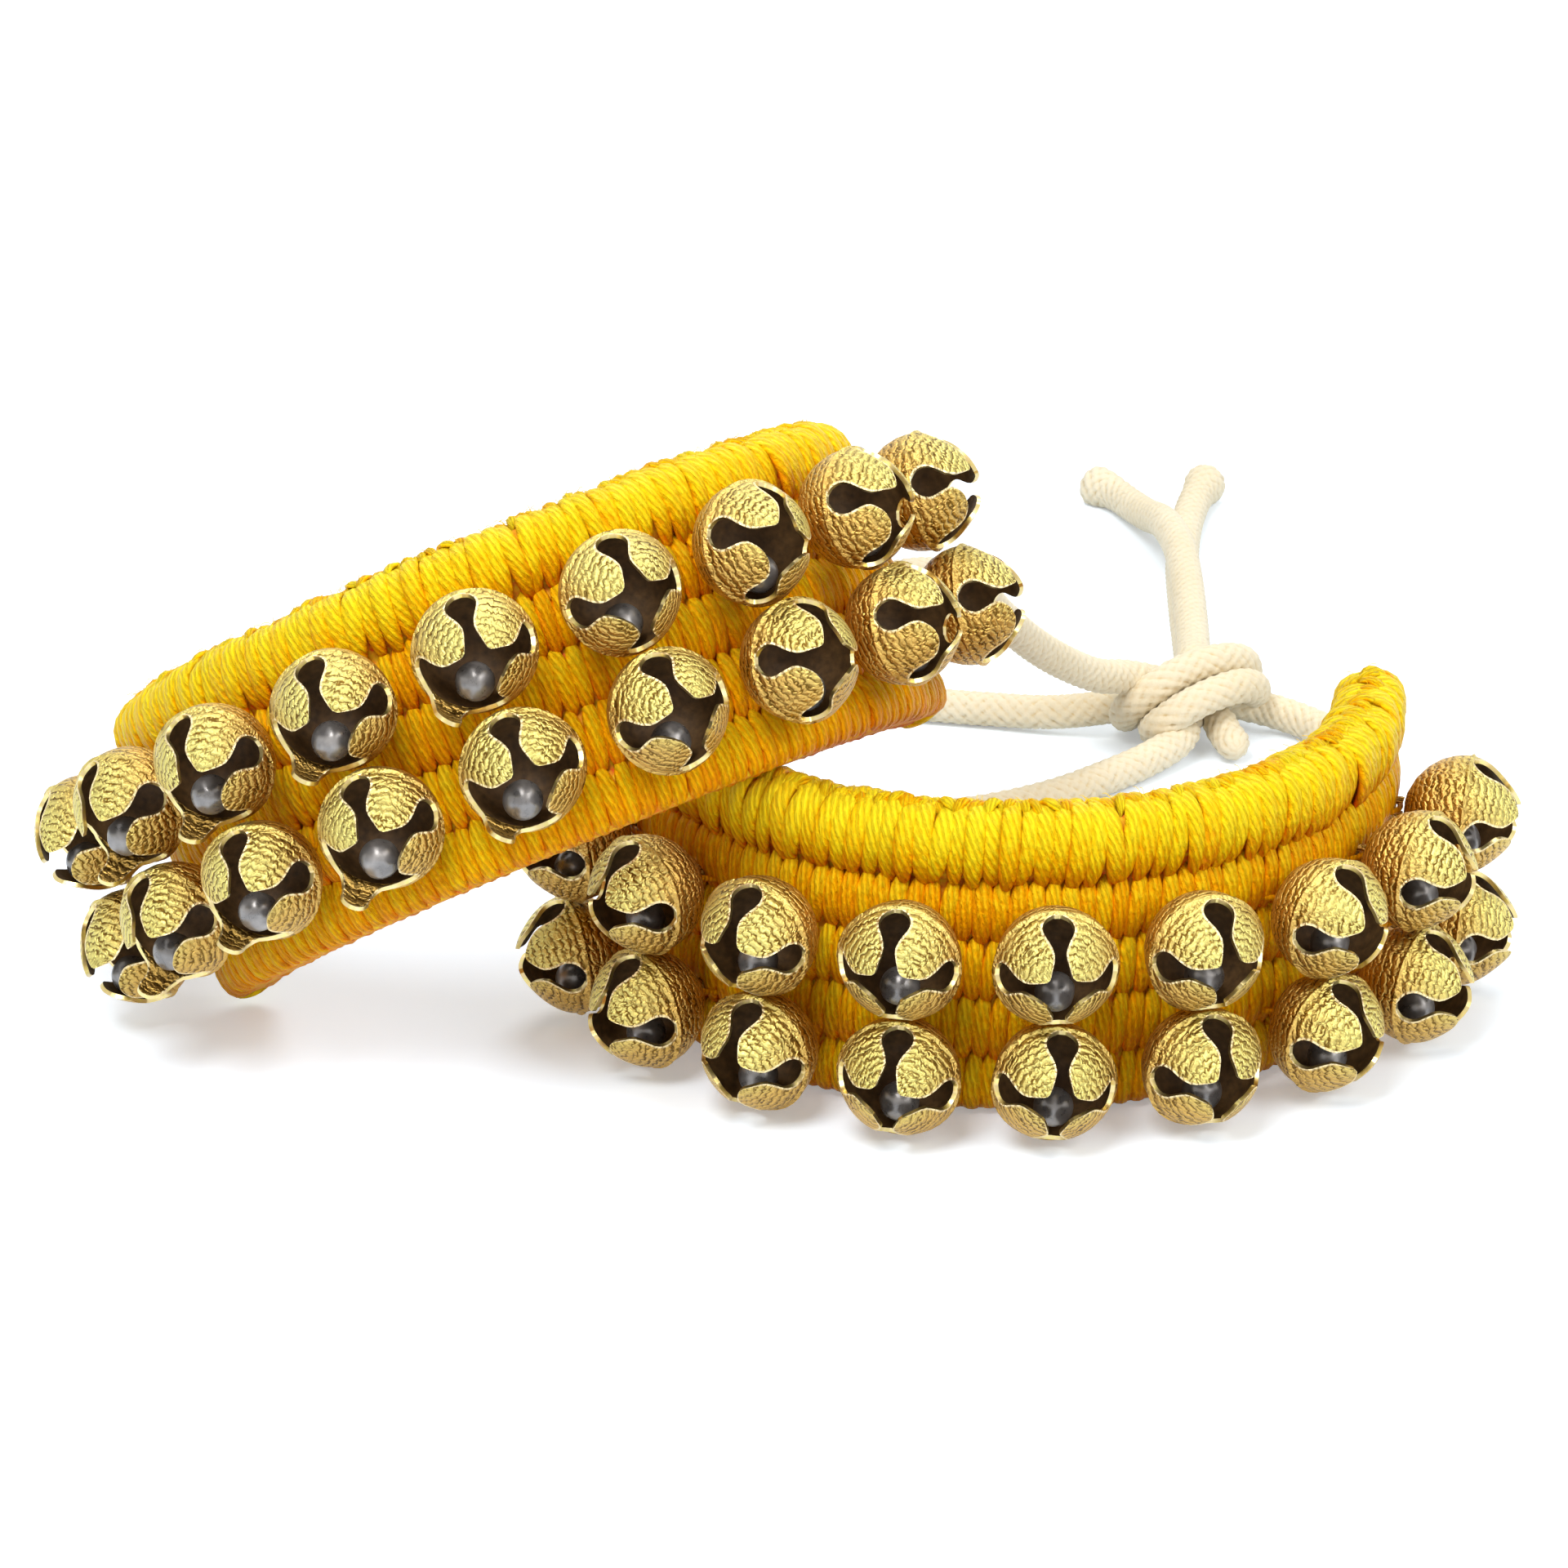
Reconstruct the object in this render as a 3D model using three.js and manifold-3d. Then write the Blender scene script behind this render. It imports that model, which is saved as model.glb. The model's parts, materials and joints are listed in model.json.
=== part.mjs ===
// A pair of ghungroo anklets: two padded yarn bands, each with two rows of four-petal brass bells.
// One anklet stands upright, the other leans on it, and their cotton ties meet in one knot behind.
// Units are millimetres, +Z is up, +Y points away from the front of the standing anklet.

import * as THREE from 'three';
import { mergeVertices } from 'three/addons/utils/BufferGeometryUtils.js';
import Module from 'manifold-3d';

// Band: wrapped rows sewn side by side, with a thicker one on top, bent to an arc
const PLAIN_ROWS = 4;
const ROW_HEIGHT = 10.25;
const TOP_ROW_HEIGHT = 12;
const ROW_HALF_THICKNESS = 5.2;
const TOP_ROW_HALF_THICKNESS = 5.9;
const SEAM_HALF_THICKNESS = 3.3;
const FOOT_HALF_WIDTH = 2.2;
const BEND_RADIUS = 61;
const END_MARGIN = 10.4;
const END_DRAWN_IN = 1.6;
const END_DRAW_LENGTH = 3;
const BAND_STEPS = 15;
const FOOT_SHARES = [0, 0.12];
const FIRST_ROW_SHARES = [0.5, 0.8, 1];
const ROW_SHARES = [0.2, 0.5, 0.8, 1];
const TOP_ROW_SHARES = [0.2, 0.5, 0.78, 0.94];

// Bell: a cup, petals folded in from its rim with keyhole slots between them, and an eyelet at the back
const BELLS_PER_ROW = 9;
const BELL_PITCH = 19.8;
const BELL_DIAMETER = 20;
const BELL_SHEET = 0.8;
const PETALS = 4;
const RIM_ANGLE = 80;
const SLOT_HEAD_WIDTH = 5.1;
const SLOT_MIDDLE_ANGLE = 60;
const SLOT_MIDDLE_WIDTH = 4.2;
const SLOT_NECK_ANGLE = 36;
const SLOT_NECK_WIDTH = 1.8;
const PETAL_SHOULDER_ANGLE = 23;
const PETAL_SHOULDER_GAP = 1.8;
const PETAL_TIP_ANGLE = 14;
const CUP_RINGS = 2;
const BORE_RINGS = 1;
const EYELET_HALF_WIDTH = 2;
const EYELET_RISE = 2;
const EYELET_WIRE = 1.4;
const EYELET_HOLE_RADIUS = 0.75;
const EYELET_HOLE_RISE = 0.8;
const EYELET_SUNK_SHARE = 0.9;
const EYELET_CURVE_STEPS = 2;
const PELLET_DIAMETER = 6.6;
const PELLET_GAP = 0.3;
const PELLET_DETAIL = 1;
const BELL_TO_BAND_GAP = 0.3;
const SEAT_ANGLE_STEP = 2;

// How the bells sit: how far they hang below the middle of their row, how far they nod,
// and how each one is rolled about its own axis, from left to right
const UPPER_ROW = 4;
const LOWER_ROW = 2;
const STANDING_HANG = 3.8;
const STANDING_NOD = 3;
const STANDING_ROLLS = {
  upper: [0, 0, 3, 0, 0, 3, 0, 0, 0],
  lower: [0, 0, 3, 4, 6, 4, 0, 0, 0],
};
const LEANING_HANG = 1;
const LEANING_NOD = 12;
const LEANING_ROLLS = {
  upper: [0, 0, 0, 5, 4, 0, 25, 18, 10],
  lower: [0, 7, 10, 2, 0, -5, 15, 18, 10],
};

// How the two anklets lie. The leaning one is tilted until it rests on the floor and on the other
const STANDING_TURN = 4.4;
const LEANING_SIDE_STEP = -78;
const LEANING_BACK_STEP = -3.3;
const LEANING_TURN = 6.6;
const LEANING_BACK = 26;
const LEAST_TILT = 2;
const MOST_TILT = 60;
const RESTING_GAP = 0.3;
const TILT_ROUNDS = 24;
const BALLS_PER_STEP = 4;

// Ties: braided cotton cord from the end of each band along the floor to one knot, with two loose tails.
// The routes are given in the finished frame, each from the band's end to the knot.
// The tails run from the knot to their loose ends, the left one lying on the right one until they part
const CORD_DIAMETER = 6.3;
const CORD_SIDES = 8;
const CORD_STEP = 15;
const STANDING_LEFT_ROUTE = [
  [-21.3, 26.5, 25.6], [-23.4, 39, 25], [-21, 54, 20], [-13, 68, 11], [2, 79, 4.6], [22, 86, 3.3],
  [38, 91.5, 3.2], [49, 98, 3.2], [58, 106, 3.2], [66, 114, 3.4], [71.5, 120.5, 4.2],
];
const STANDING_RIGHT_ROUTE = [
  [99.8, 35.8, 25.6], [100.3, 48, 25], [102, 64, 20.5], [104.5, 82, 11.5], [105.5, 100, 4.6],
  [103.5, 117, 3.3], [98, 129, 3.2], [89, 136, 4], [78, 135, 7],
];
const LEANING_LEFT_ROUTE = [
  [-97.2, 26.8, 23], [-97.9, 40, 17], [-98, 56, 9], [-95, 73, 4], [-86, 92, 3.2], [-70, 110, 3.2],
  [-48, 126, 3.2], [-22, 136, 3.2], [3, 140.5, 3.2], [23.3, 141, 3.2], [37, 138.5, 3.2], [49.5, 135, 4],
  [59.5, 133.5, 5.6],
];
const LEANING_RIGHT_ROUTE = [
  [15.1, 39.8, 67.3], [17.6, 51, 62.8], [25, 62, 59.5], [32.5, 73, 53.5], [38.8, 88, 41.5], [45, 101, 31],
  [51.5, 112.5, 22.5], [57.5, 121, 16.8], [62, 127, 14.2],
];
const LEFT_TAIL_ROUTE = [
  [75.2, 138, 12], [75.7, 150, 10.4], [76, 165, 9.7], [76, 188, 9.6], [75.3, 204, 9.6], [73.2, 219, 8.3],
  [70.6, 231, 5.2], [67.8, 241, 3.5], [64.4, 248.5, 3.2], [59.5, 253.5, 3.2],
];
const RIGHT_TAIL_ROUTE = [
  [76, 138, 5.4], [76, 152, 3.4], [76, 168, 3.2], [76, 190, 3.2], [76.4, 210, 3.2], [77.8, 228, 3.2],
  [80.2, 243, 3.2], [83.5, 255.5, 3.2],
];
const KNOT_WRAP_ROUTE = [
  [64.5, 131, 6], [63.6, 126, 7], [67.5, 123.2, 9.6], [73.5, 123.4, 12.8], [79, 127.4, 14.6], [81.4, 134, 13],
  [79, 138.5, 9],
];
const KNOT_CENTRE = [72, 133, 8.9];
const KNOT_HALF_SIZES = [11.5, 9, 8.5];
const KNOT_SEGMENTS = 12;
const KNOT_RINGS = 6;

const MERGE_DISTANCE = 1e-4;

const YARN = new THREE.MeshStandardMaterial({ color: 0xf5ab00, roughness: 0.6, metalness: 0 });
const BRASS = new THREE.MeshStandardMaterial({ color: 0xb5913f, roughness: 0.35, metalness: 1 });
const STEEL = new THREE.MeshStandardMaterial({ color: 0x55524e, roughness: 0.4, metalness: 1 });
const COTTON = new THREE.MeshStandardMaterial({ color: 0xeee3cd, roughness: 0.9, metalness: 0 });

const wasm = await Module();
wasm.setup();

const degrees = THREE.MathUtils.degToRad;
const bellRadius = BELL_DIAMETER / 2;
const bellBore = bellRadius - BELL_SHEET;
const pelletRadius = PELLET_DIAMETER / 2;
const plainHeight = PLAIN_ROWS * ROW_HEIGHT;
const bandHeight = plainHeight + TOP_ROW_HEIGHT;
const bottomRowCentre = ROW_HEIGHT / 2;
const topRowCentre = plainHeight + TOP_ROW_HEIGHT / 2;
const middleBell = (BELLS_PER_ROW - 1) / 2;
const halfArc = (middleBell * BELL_PITCH + END_MARGIN) / BEND_RADIUS;

function closedGeometry(points, faces) {
  const geometry = new THREE.BufferGeometry();
  geometry.setAttribute('position', new THREE.Float32BufferAttribute(points.flat(), 3));
  geometry.setIndex(faces.flat());
  return geometry;
}

function toSolid(geometry) {
  const bare = geometry.clone();
  bare.deleteAttribute('normal');
  bare.deleteAttribute('uv');
  const merged = mergeVertices(bare, MERGE_DISTANCE);
  return new wasm.Manifold(new wasm.Mesh({
    numProp: 3,
    vertProperties: new Float32Array(merged.attributes.position.array),
    triVerts: new Uint32Array(merged.index.array),
  }));
}

function toGeometry(solid) {
  const mesh = solid.getMesh();
  const geometry = new THREE.BufferGeometry();
  geometry.setAttribute('position', new THREE.BufferAttribute(mesh.vertProperties, 3));
  geometry.setIndex(new THREE.BufferAttribute(mesh.triVerts, 1));
  return geometry;
}

// Half thickness of the band at a height above its foot
function bandHalfThickness(z) {
  const inTopRow = z > plainHeight;
  const rowHeight = inTopRow ? TOP_ROW_HEIGHT : ROW_HEIGHT;
  const crest = inTopRow ? TOP_ROW_HALF_THICKNESS : ROW_HALF_THICKNESS;
  const rowFoot = inTopRow ? plainHeight : Math.floor(z / ROW_HEIGHT) * ROW_HEIGHT;
  const share = Math.min(Math.abs((z - rowFoot) / rowHeight - 0.5) * 2, 1);
  const rounding = Math.sqrt(1 - share * share);
  if (z < bottomRowCentre) return FOOT_HALF_WIDTH + (crest - FOOT_HALF_WIDTH) * rounding;
  if (z > topRowCentre) return crest * rounding;
  return SEAM_HALF_THICKNESS + (crest - SEAM_HALF_THICKNESS) * Math.cos(share * Math.PI / 2);
}

// One face of the band's section, from its foot up to just under its top edge
function bandFace() {
  const heights = FOOT_SHARES.map((share) => share * ROW_HEIGHT);
  for (let row = 0; row < PLAIN_ROWS; row += 1) {
    const shares = row === 0 ? FIRST_ROW_SHARES : ROW_SHARES;
    shares.forEach((share) => heights.push((row + share) * ROW_HEIGHT));
  }
  TOP_ROW_SHARES.forEach((share) => heights.push(plainHeight + share * TOP_ROW_HEIGHT));
  return heights.map((z) => [bandHalfThickness(z), z]);
}

// A point of an anklet in its own frame: angle along the arc, distance outside the band's middle, height
function ankletPoint(angle, outside, z) {
  const radius = BEND_RADIUS + outside;
  return new THREE.Vector3(radius * Math.sin(angle), BEND_RADIUS - radius * Math.cos(angle), z);
}

// The band: its rows' section carried round the arc and drawn in at both ends
function bandGeometry() {
  const face = bandFace();
  const section = [...face, [0, bandHeight], ...face.map(([half, z]) => [-half, z]).reverse()];
  const wholeAngle = halfArc - END_DRAW_LENGTH / BEND_RADIUS;
  const stations = [[-halfArc, END_DRAWN_IN]];
  for (let step = 0; step <= BAND_STEPS; step += 1) {
    stations.push([THREE.MathUtils.lerp(-wholeAngle, wholeAngle, step / BAND_STEPS), 0]);
  }
  stations.push([halfArc, END_DRAWN_IN]);
  const points = stations.flatMap(([angle, drawn]) => section.map(([half, z]) => {
    const outside = half * (1 - drawn / TOP_ROW_HALF_THICKNESS);
    return ankletPoint(angle, outside, z).toArray();
  }));
  const count = section.length;
  const last = (stations.length - 1) * count;
  const faces = [];
  for (let start = 0; start < last; start += count) {
    for (let side = 0; side < count; side += 1) {
      const a = start + side;
      const b = start + (side + 1) % count;
      faces.push([a, a + count, b + count], [a, b + count, b]);
    }
  }
  const outline = section.map(([half, z]) => new THREE.Vector2(half, z));
  THREE.ShapeUtils.triangulateShape(outline, []).forEach(([a, b, c]) => {
    faces.push([a, b, c], [last + a, last + c, last + b]);
  });
  return closedGeometry(points, faces);
}

// Half of the angle that one petal spans where the slot beside it has a given width
function petalHalfAngle(slotWidth, polar) {
  return Math.PI / PETALS - Math.asin(slotWidth / 2 / (bellRadius * Math.sin(degrees(polar))));
}

// The bell's sheet, front pole on +Z: petals and cup drawn outside and inside, joined along the petals' edge
function bellShellGeometry() {
  const rimHalf = petalHalfAngle(SLOT_HEAD_WIDTH, RIM_ANGLE);
  const petalRows = [
    [PETAL_SHOULDER_ANGLE, petalHalfAngle(PETAL_SHOULDER_GAP, PETAL_SHOULDER_ANGLE)],
    [SLOT_NECK_ANGLE, petalHalfAngle(SLOT_NECK_WIDTH, SLOT_NECK_ANGLE)],
    [SLOT_MIDDLE_ANGLE, petalHalfAngle(SLOT_MIDDLE_WIDTH, SLOT_MIDDLE_ANGLE)],
    [RIM_ANGLE, rimHalf],
  ];
  const points = [];
  const faces = [];
  const addPoint = (radius, polar, turn) => {
    const ring = radius * Math.sin(degrees(polar));
    points.push([ring * Math.sin(turn), ring * Math.cos(turn), radius * Math.cos(degrees(polar))]);
    return points.length - 1;
  };
  const addFace = (a, b, c) => {
    if (a !== b && b !== c && c !== a) faces.push([a, b, c]);
  };
  const join = (upper, lower, outwards) => {
    for (let column = 0; column + 1 < upper.length; column += 1) {
      const corners = [upper[column], upper[column + 1], lower[column + 1], lower[column]];
      const [a, b, c, d] = outwards ? corners : corners.reverse();
      addFace(a, b, c);
      addFace(a, c, d);
    }
  };
  const closed = (ring) => [...ring, ring[0]];
  const edges = [[bellRadius, CUP_RINGS], [bellBore, BORE_RINGS]].map(([radius, ringCount]) => {
    const outwards = radius === bellRadius;
    const cupRows = [];
    for (let ring = 1; ring <= ringCount; ring += 1) {
      cupRows.push([THREE.MathUtils.lerp(RIM_ANGLE, 180, ring / (ringCount + 1)), rimHalf]);
    }
    const petals = [];
    for (let petal = 0; petal < PETALS; petal += 1) {
      const middle = (petal + 0.5) * 2 * Math.PI / PETALS;
      const addRow = ([polar, half]) => {
        return [-half, 0, half].map((turn) => addPoint(radius, polar, middle + turn));
      };
      const tip = addPoint(radius, PETAL_TIP_ANGLE, middle);
      petals.push({ rows: [[tip, tip, tip], ...petalRows.map(addRow)], cup: cupRows.map(addRow) });
    }
    petals.forEach(({ rows }) => rows.slice(1).forEach((row, index) => join(rows[index], row, outwards)));
    const rim = petals.flatMap(({ rows }) => rows.at(-1));
    const rings = cupRows.map((_, index) => petals.flatMap(({ cup }) => cup[index]));
    const back = addPoint(radius, 180, 0);
    const courses = [rim, ...rings, rim.map(() => back)];
    courses.slice(1).forEach((ring, index) => join(closed(courses[index]), closed(ring), outwards));
    return petals.flatMap(({ rows }) => [
      ...rows.map((row) => row[0]).reverse(),
      ...rows.slice(1).map((row) => row[2]),
    ]);
  });
  join(closed(edges[1]), closed(edges[0]), true);
  return closedGeometry(points, faces);
}

// The eyelet: a rounded tab with a hole for the sewing thread, upright on the back of the cup
function eyeletGeometry() {
  const foot = bellRadius - BELL_SHEET * EYELET_SUNK_SHARE;
  const tab = new THREE.Shape();
  tab.moveTo(EYELET_HALF_WIDTH, foot);
  tab.lineTo(EYELET_HALF_WIDTH, bellRadius + EYELET_RISE - EYELET_HALF_WIDTH);
  tab.absarc(0, bellRadius + EYELET_RISE - EYELET_HALF_WIDTH, EYELET_HALF_WIDTH, 0, Math.PI);
  tab.lineTo(-EYELET_HALF_WIDTH, foot);
  const hole = new THREE.Path();
  hole.absarc(0, bellRadius + EYELET_HOLE_RISE, EYELET_HOLE_RADIUS, 0, 2 * Math.PI, true);
  tab.holes.push(hole);
  const geometry = new THREE.ExtrudeGeometry(tab, {
    depth: EYELET_WIRE,
    curveSegments: EYELET_CURVE_STEPS,
    bevelEnabled: false,
  });
  geometry.translate(0, 0, -EYELET_WIRE / 2);
  const upright = new THREE.Matrix4();
  upright.makeBasis(new THREE.Vector3(0, 1, 0), new THREE.Vector3(0, 0, -1), new THREE.Vector3(-1, 0, 0));
  return geometry.applyMatrix4(upright);
}

function bellGeometry() {
  return toGeometry(toSolid(bellShellGeometry()).add(toSolid(eyeletGeometry())));
}

// How far outside the band's middle a bell's centre sits, so that its back or its eyelet just clears the band
function bellSeat(z, nod) {
  let seat = 0;
  for (let turn = -90; turn <= 90; turn += SEAT_ANGLE_STEP) {
    const up = Math.sin(degrees(turn));
    const back = Math.cos(degrees(turn));
    const cup = [bellRadius * up, bellRadius * back];
    const eyeletCentre = bellRadius + EYELET_RISE - EYELET_HALF_WIDTH;
    const eyelet = [EYELET_HALF_WIDTH * up, eyeletCentre + EYELET_HALF_WIDTH * back];
    [cup, eyelet].forEach(([rise, depth]) => {
      const height = z + rise * Math.cos(nod) + depth * Math.sin(nod);
      const reach = depth * Math.cos(nod) - rise * Math.sin(nod);
      if (height < 0 || height > bandHeight) return;
      seat = Math.max(seat, bandHalfThickness(height) + reach);
    });
  }
  return seat + BELL_TO_BAND_GAP;
}

// Where the bells of one row sit: centre, and the turned frame whose Z runs out through the front pole
function bellPlaces(row, hang, nodDegrees, rolls) {
  const nod = degrees(nodDegrees);
  const z = (row - 0.5) * ROW_HEIGHT - hang;
  const seat = bellSeat(z, nod);
  return rolls.map((roll, index) => {
    const angle = (index - middleBell) * BELL_PITCH / BEND_RADIUS;
    const outwards = new THREE.Vector3(Math.sin(angle), -Math.cos(angle), 0);
    const upwards = new THREE.Vector3(0, 0, 1);
    const front = outwards.clone().multiplyScalar(Math.cos(nod)).addScaledVector(upwards, -Math.sin(nod));
    const up = upwards.multiplyScalar(Math.cos(nod)).addScaledVector(outwards, Math.sin(nod));
    const turned = new THREE.Matrix4().makeBasis(up.clone().cross(front), up, front);
    turned.multiply(new THREE.Matrix4().makeRotationZ(-degrees(roll)));
    return { centre: ankletPoint(angle, seat, z), up, turned };
  });
}

const standingRows = {
  upper: bellPlaces(UPPER_ROW, STANDING_HANG, STANDING_NOD, STANDING_ROLLS.upper),
  lower: bellPlaces(LOWER_ROW, STANDING_HANG, STANDING_NOD, STANDING_ROLLS.lower),
};
const leaningRows = {
  upper: bellPlaces(UPPER_ROW, LEANING_HANG, LEANING_NOD, LEANING_ROLLS.upper),
  lower: bellPlaces(LOWER_ROW, LEANING_HANG, LEANING_NOD, LEANING_ROLLS.lower),
};

// Farthest that the band's edge row reaches from the middle of that row, below or above it
function rowReach(centre, isOutside) {
  const points = [...bandFace(), [0, bandHeight]].filter(([, z]) => isOutside(z - centre));
  return Math.max(...points.map(([half, z]) => Math.hypot(half, z - centre)));
}

// The middle line of one row, as balls that stand for the row
function rowBalls(centre, radius) {
  const balls = [];
  const steps = BALLS_PER_STEP * BAND_STEPS;
  for (let step = 0; step <= steps; step += 1) {
    const angle = THREE.MathUtils.lerp(-halfArc, halfArc, step / steps);
    balls.push({ centre: ankletPoint(angle, 0, centre), radius });
  }
  return balls;
}

// Tilts the leaning anklet, one end on the floor, until its lower edge lies on the standing one
function leaningMatrix(standingMatrix) {
  const bellBalls = (places) => places.map(({ centre }) => ({ centre, radius: bellRadius }));
  const moved = (balls, matrix) => balls.map(({ centre, radius }) => {
    return { centre: centre.clone().applyMatrix4(matrix), radius };
  });
  const under = [
    ...rowBalls(bottomRowCentre, rowReach(bottomRowCentre, (rise) => rise <= 0)),
    ...bellBalls(leaningRows.lower),
  ];
  const over = moved([
    ...rowBalls(topRowCentre, rowReach(topRowCentre, (rise) => rise >= 0)),
    ...bellBalls(standingRows.upper),
  ], standingMatrix);
  const poseAt = (tilt) => {
    const turn = new THREE.Euler(-degrees(LEANING_BACK), -degrees(tilt), degrees(LEANING_TURN), 'ZYX');
    const pose = new THREE.Matrix4().makeRotationFromEuler(turn);
    const lowest = Math.min(...moved(under, pose).map(({ centre, radius }) => centre.z - radius));
    return pose.setPosition(LEANING_SIDE_STEP, LEANING_BACK_STEP, RESTING_GAP - lowest);
  };
  const gapAt = (tilt) => {
    const raised = moved(under, poseAt(tilt));
    const gaps = raised.flatMap((a) => over.map((b) => a.centre.distanceTo(b.centre) - a.radius - b.radius));
    return Math.min(...gaps);
  };
  let low = LEAST_TILT;
  let high = MOST_TILT;
  for (let round = 0; round < TILT_ROUNDS; round += 1) {
    const middle = (low + high) / 2;
    if (gapAt(middle) < RESTING_GAP) low = middle;
    else high = middle;
  }
  return poseAt(high);
}

function namedMesh(name, geometry, material) {
  const mesh = new THREE.Mesh(geometry, material);
  mesh.name = name;
  return mesh;
}

// Clear radius inside a bell, between the flat faces of its bore
function boreClearRadius() {
  const columnHalf = Math.PI / PETALS / 3;
  const ringHalf = degrees(180 - RIM_ANGLE) / (BORE_RINGS + 1) / 2;
  return bellBore * Math.cos(columnHalf) * Math.cos(ringHalf);
}

// One anklet in its own frame: band, bells and, where asked for, the pellets that lie in them
function anklet(name, rows, withPellets) {
  const group = new THREE.Group();
  group.add(namedMesh(`${name}_band`, bandGeometry(), YARN));
  const bell = bellGeometry();
  const pellet = new THREE.OctahedronGeometry(pelletRadius, PELLET_DETAIL);
  const drop = boreClearRadius() - pelletRadius - PELLET_GAP;
  Object.entries(rows).forEach(([row, places]) => places.forEach(({ centre, up, turned }, index) => {
    const shell = namedMesh(`${name}_bell_${row}_${index + 1}`, bell, BRASS);
    shell.applyMatrix4(turned);
    shell.position.copy(centre);
    group.add(shell);
    if (!withPellets) return;
    const ball = namedMesh(`${name}_pellet_${row}_${index + 1}`, pellet, STEEL);
    ball.position.copy(centre).addScaledVector(up, -drop);
    group.add(ball);
  }));
  return group;
}

// A length of cord along a route, cut square at both ends
function cordGeometry(route) {
  const points = route.map((point) => new THREE.Vector3(...point));
  const curve = new THREE.CatmullRomCurve3(points, false, 'centripetal');
  const outline = [];
  for (let side = 0; side < CORD_SIDES; side += 1) {
    const turn = (side + 0.5) * 2 * Math.PI / CORD_SIDES;
    outline.push(new THREE.Vector2(Math.cos(turn), Math.sin(turn)).multiplyScalar(CORD_DIAMETER / 2));
  }
  const steps = Math.ceil(curve.getLength() / CORD_STEP);
  const section = new THREE.Shape(outline);
  return new THREE.ExtrudeGeometry(section, { steps, extrudePath: curve, bevelEnabled: false });
}

// The tie that carries the knot: its own run, the knot's body with one wrap showing, and the two tails
function knottedTieGeometry() {
  const body = new THREE.SphereGeometry(1, KNOT_SEGMENTS, KNOT_RINGS);
  body.scale(...KNOT_HALF_SIZES).translate(...KNOT_CENTRE);
  const runs = [STANDING_RIGHT_ROUTE, KNOT_WRAP_ROUTE, LEFT_TAIL_ROUTE, RIGHT_TAIL_ROUTE];
  const knotted = runs.reduce((solid, route) => solid.add(toSolid(cordGeometry(route))), toSolid(body));
  return toGeometry(knotted);
}

const standing = anklet('standing', standingRows, true);
standing.rotation.z = degrees(STANDING_TURN);
standing.updateMatrixWorld(true);
const leaning = anklet('leaning', leaningRows, false);
leaning.applyMatrix4(leaningMatrix(standing.matrixWorld));

// The pair, with its origin under the middle of the two anklets
const pair = new THREE.Group();
pair.add(standing, leaning);
pair.updateMatrixWorld(true);
const box = new THREE.Box3().setFromObject(pair, true);
const middle = box.getCenter(new THREE.Vector3());
pair.position.set(-middle.x, -middle.y, -box.min.z);

const ties = new THREE.Group();
ties.add(
  namedMesh('standing_left_tie', cordGeometry(STANDING_LEFT_ROUTE), COTTON),
  namedMesh('standing_right_tie', knottedTieGeometry(), COTTON),
  namedMesh('leaning_left_tie', cordGeometry(LEANING_LEFT_ROUTE), COTTON),
  namedMesh('leaning_right_tie', cordGeometry(LEANING_RIGHT_ROUTE), COTTON),
);

const ankletsWithTies = new THREE.Group();
ankletsWithTies.add(pair, ties);

export default ankletsWithTies;
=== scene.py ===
import json
import math
from collections import namedtuple

import bmesh
import bpy
import numpy as np
from bpy.props import FloatProperty, FloatVectorProperty, IntProperty, PointerProperty
from mathutils import Matrix, Vector


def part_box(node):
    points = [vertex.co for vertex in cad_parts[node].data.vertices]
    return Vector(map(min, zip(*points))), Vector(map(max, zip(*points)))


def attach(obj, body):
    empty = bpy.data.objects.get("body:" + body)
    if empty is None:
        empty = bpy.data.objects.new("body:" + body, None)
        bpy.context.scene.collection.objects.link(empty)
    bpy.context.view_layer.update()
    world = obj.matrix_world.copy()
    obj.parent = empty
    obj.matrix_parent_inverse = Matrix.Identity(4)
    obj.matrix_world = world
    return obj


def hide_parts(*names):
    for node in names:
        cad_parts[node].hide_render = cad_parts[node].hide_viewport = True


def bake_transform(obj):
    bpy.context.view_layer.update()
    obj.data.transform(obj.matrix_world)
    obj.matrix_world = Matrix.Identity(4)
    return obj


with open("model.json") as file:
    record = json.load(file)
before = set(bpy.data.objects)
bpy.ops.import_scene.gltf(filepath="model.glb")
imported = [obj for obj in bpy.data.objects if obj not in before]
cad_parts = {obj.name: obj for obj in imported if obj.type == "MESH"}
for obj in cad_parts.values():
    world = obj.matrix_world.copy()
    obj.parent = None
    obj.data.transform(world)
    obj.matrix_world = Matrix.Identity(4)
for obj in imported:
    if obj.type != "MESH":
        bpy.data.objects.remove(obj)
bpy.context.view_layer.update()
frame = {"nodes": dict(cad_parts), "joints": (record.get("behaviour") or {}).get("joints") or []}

bl_info = {
    "name": "Ghungroo ankle bells",
    "version": (1, 0, 0),
    "blender": (4, 5, 0),
    "location": "View3D > Sidebar > Ghungroo",
    "description": "Dresses a pair of yarn anklets with petal bells and cotton ties",
    "category": "Object",
}

MM = 0.001
JOINTS = {joint["name"]: joint for joint in frame["joints"]}
BELLS_PER_ROW = 9
BELL_ROWS = ("upper", "lower")

# How the bells nod and roll, in degrees, as in the solids
NOD = {"standing": 3, "leaning": 12}
ROLLS = {
    "standing_upper": [0, 0, 3, 0, 0, 3, 0, 0, 0],
    "standing_lower": [0, 0, 3, 4, 6, 4, 0, 0, 0],
    "leaning_upper": [0, 0, 0, 5, 4, 0, 25, 18, 10],
    "leaning_lower": [0, 7, 10, 2, 0, -5, 15, 18, 10],
}

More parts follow.
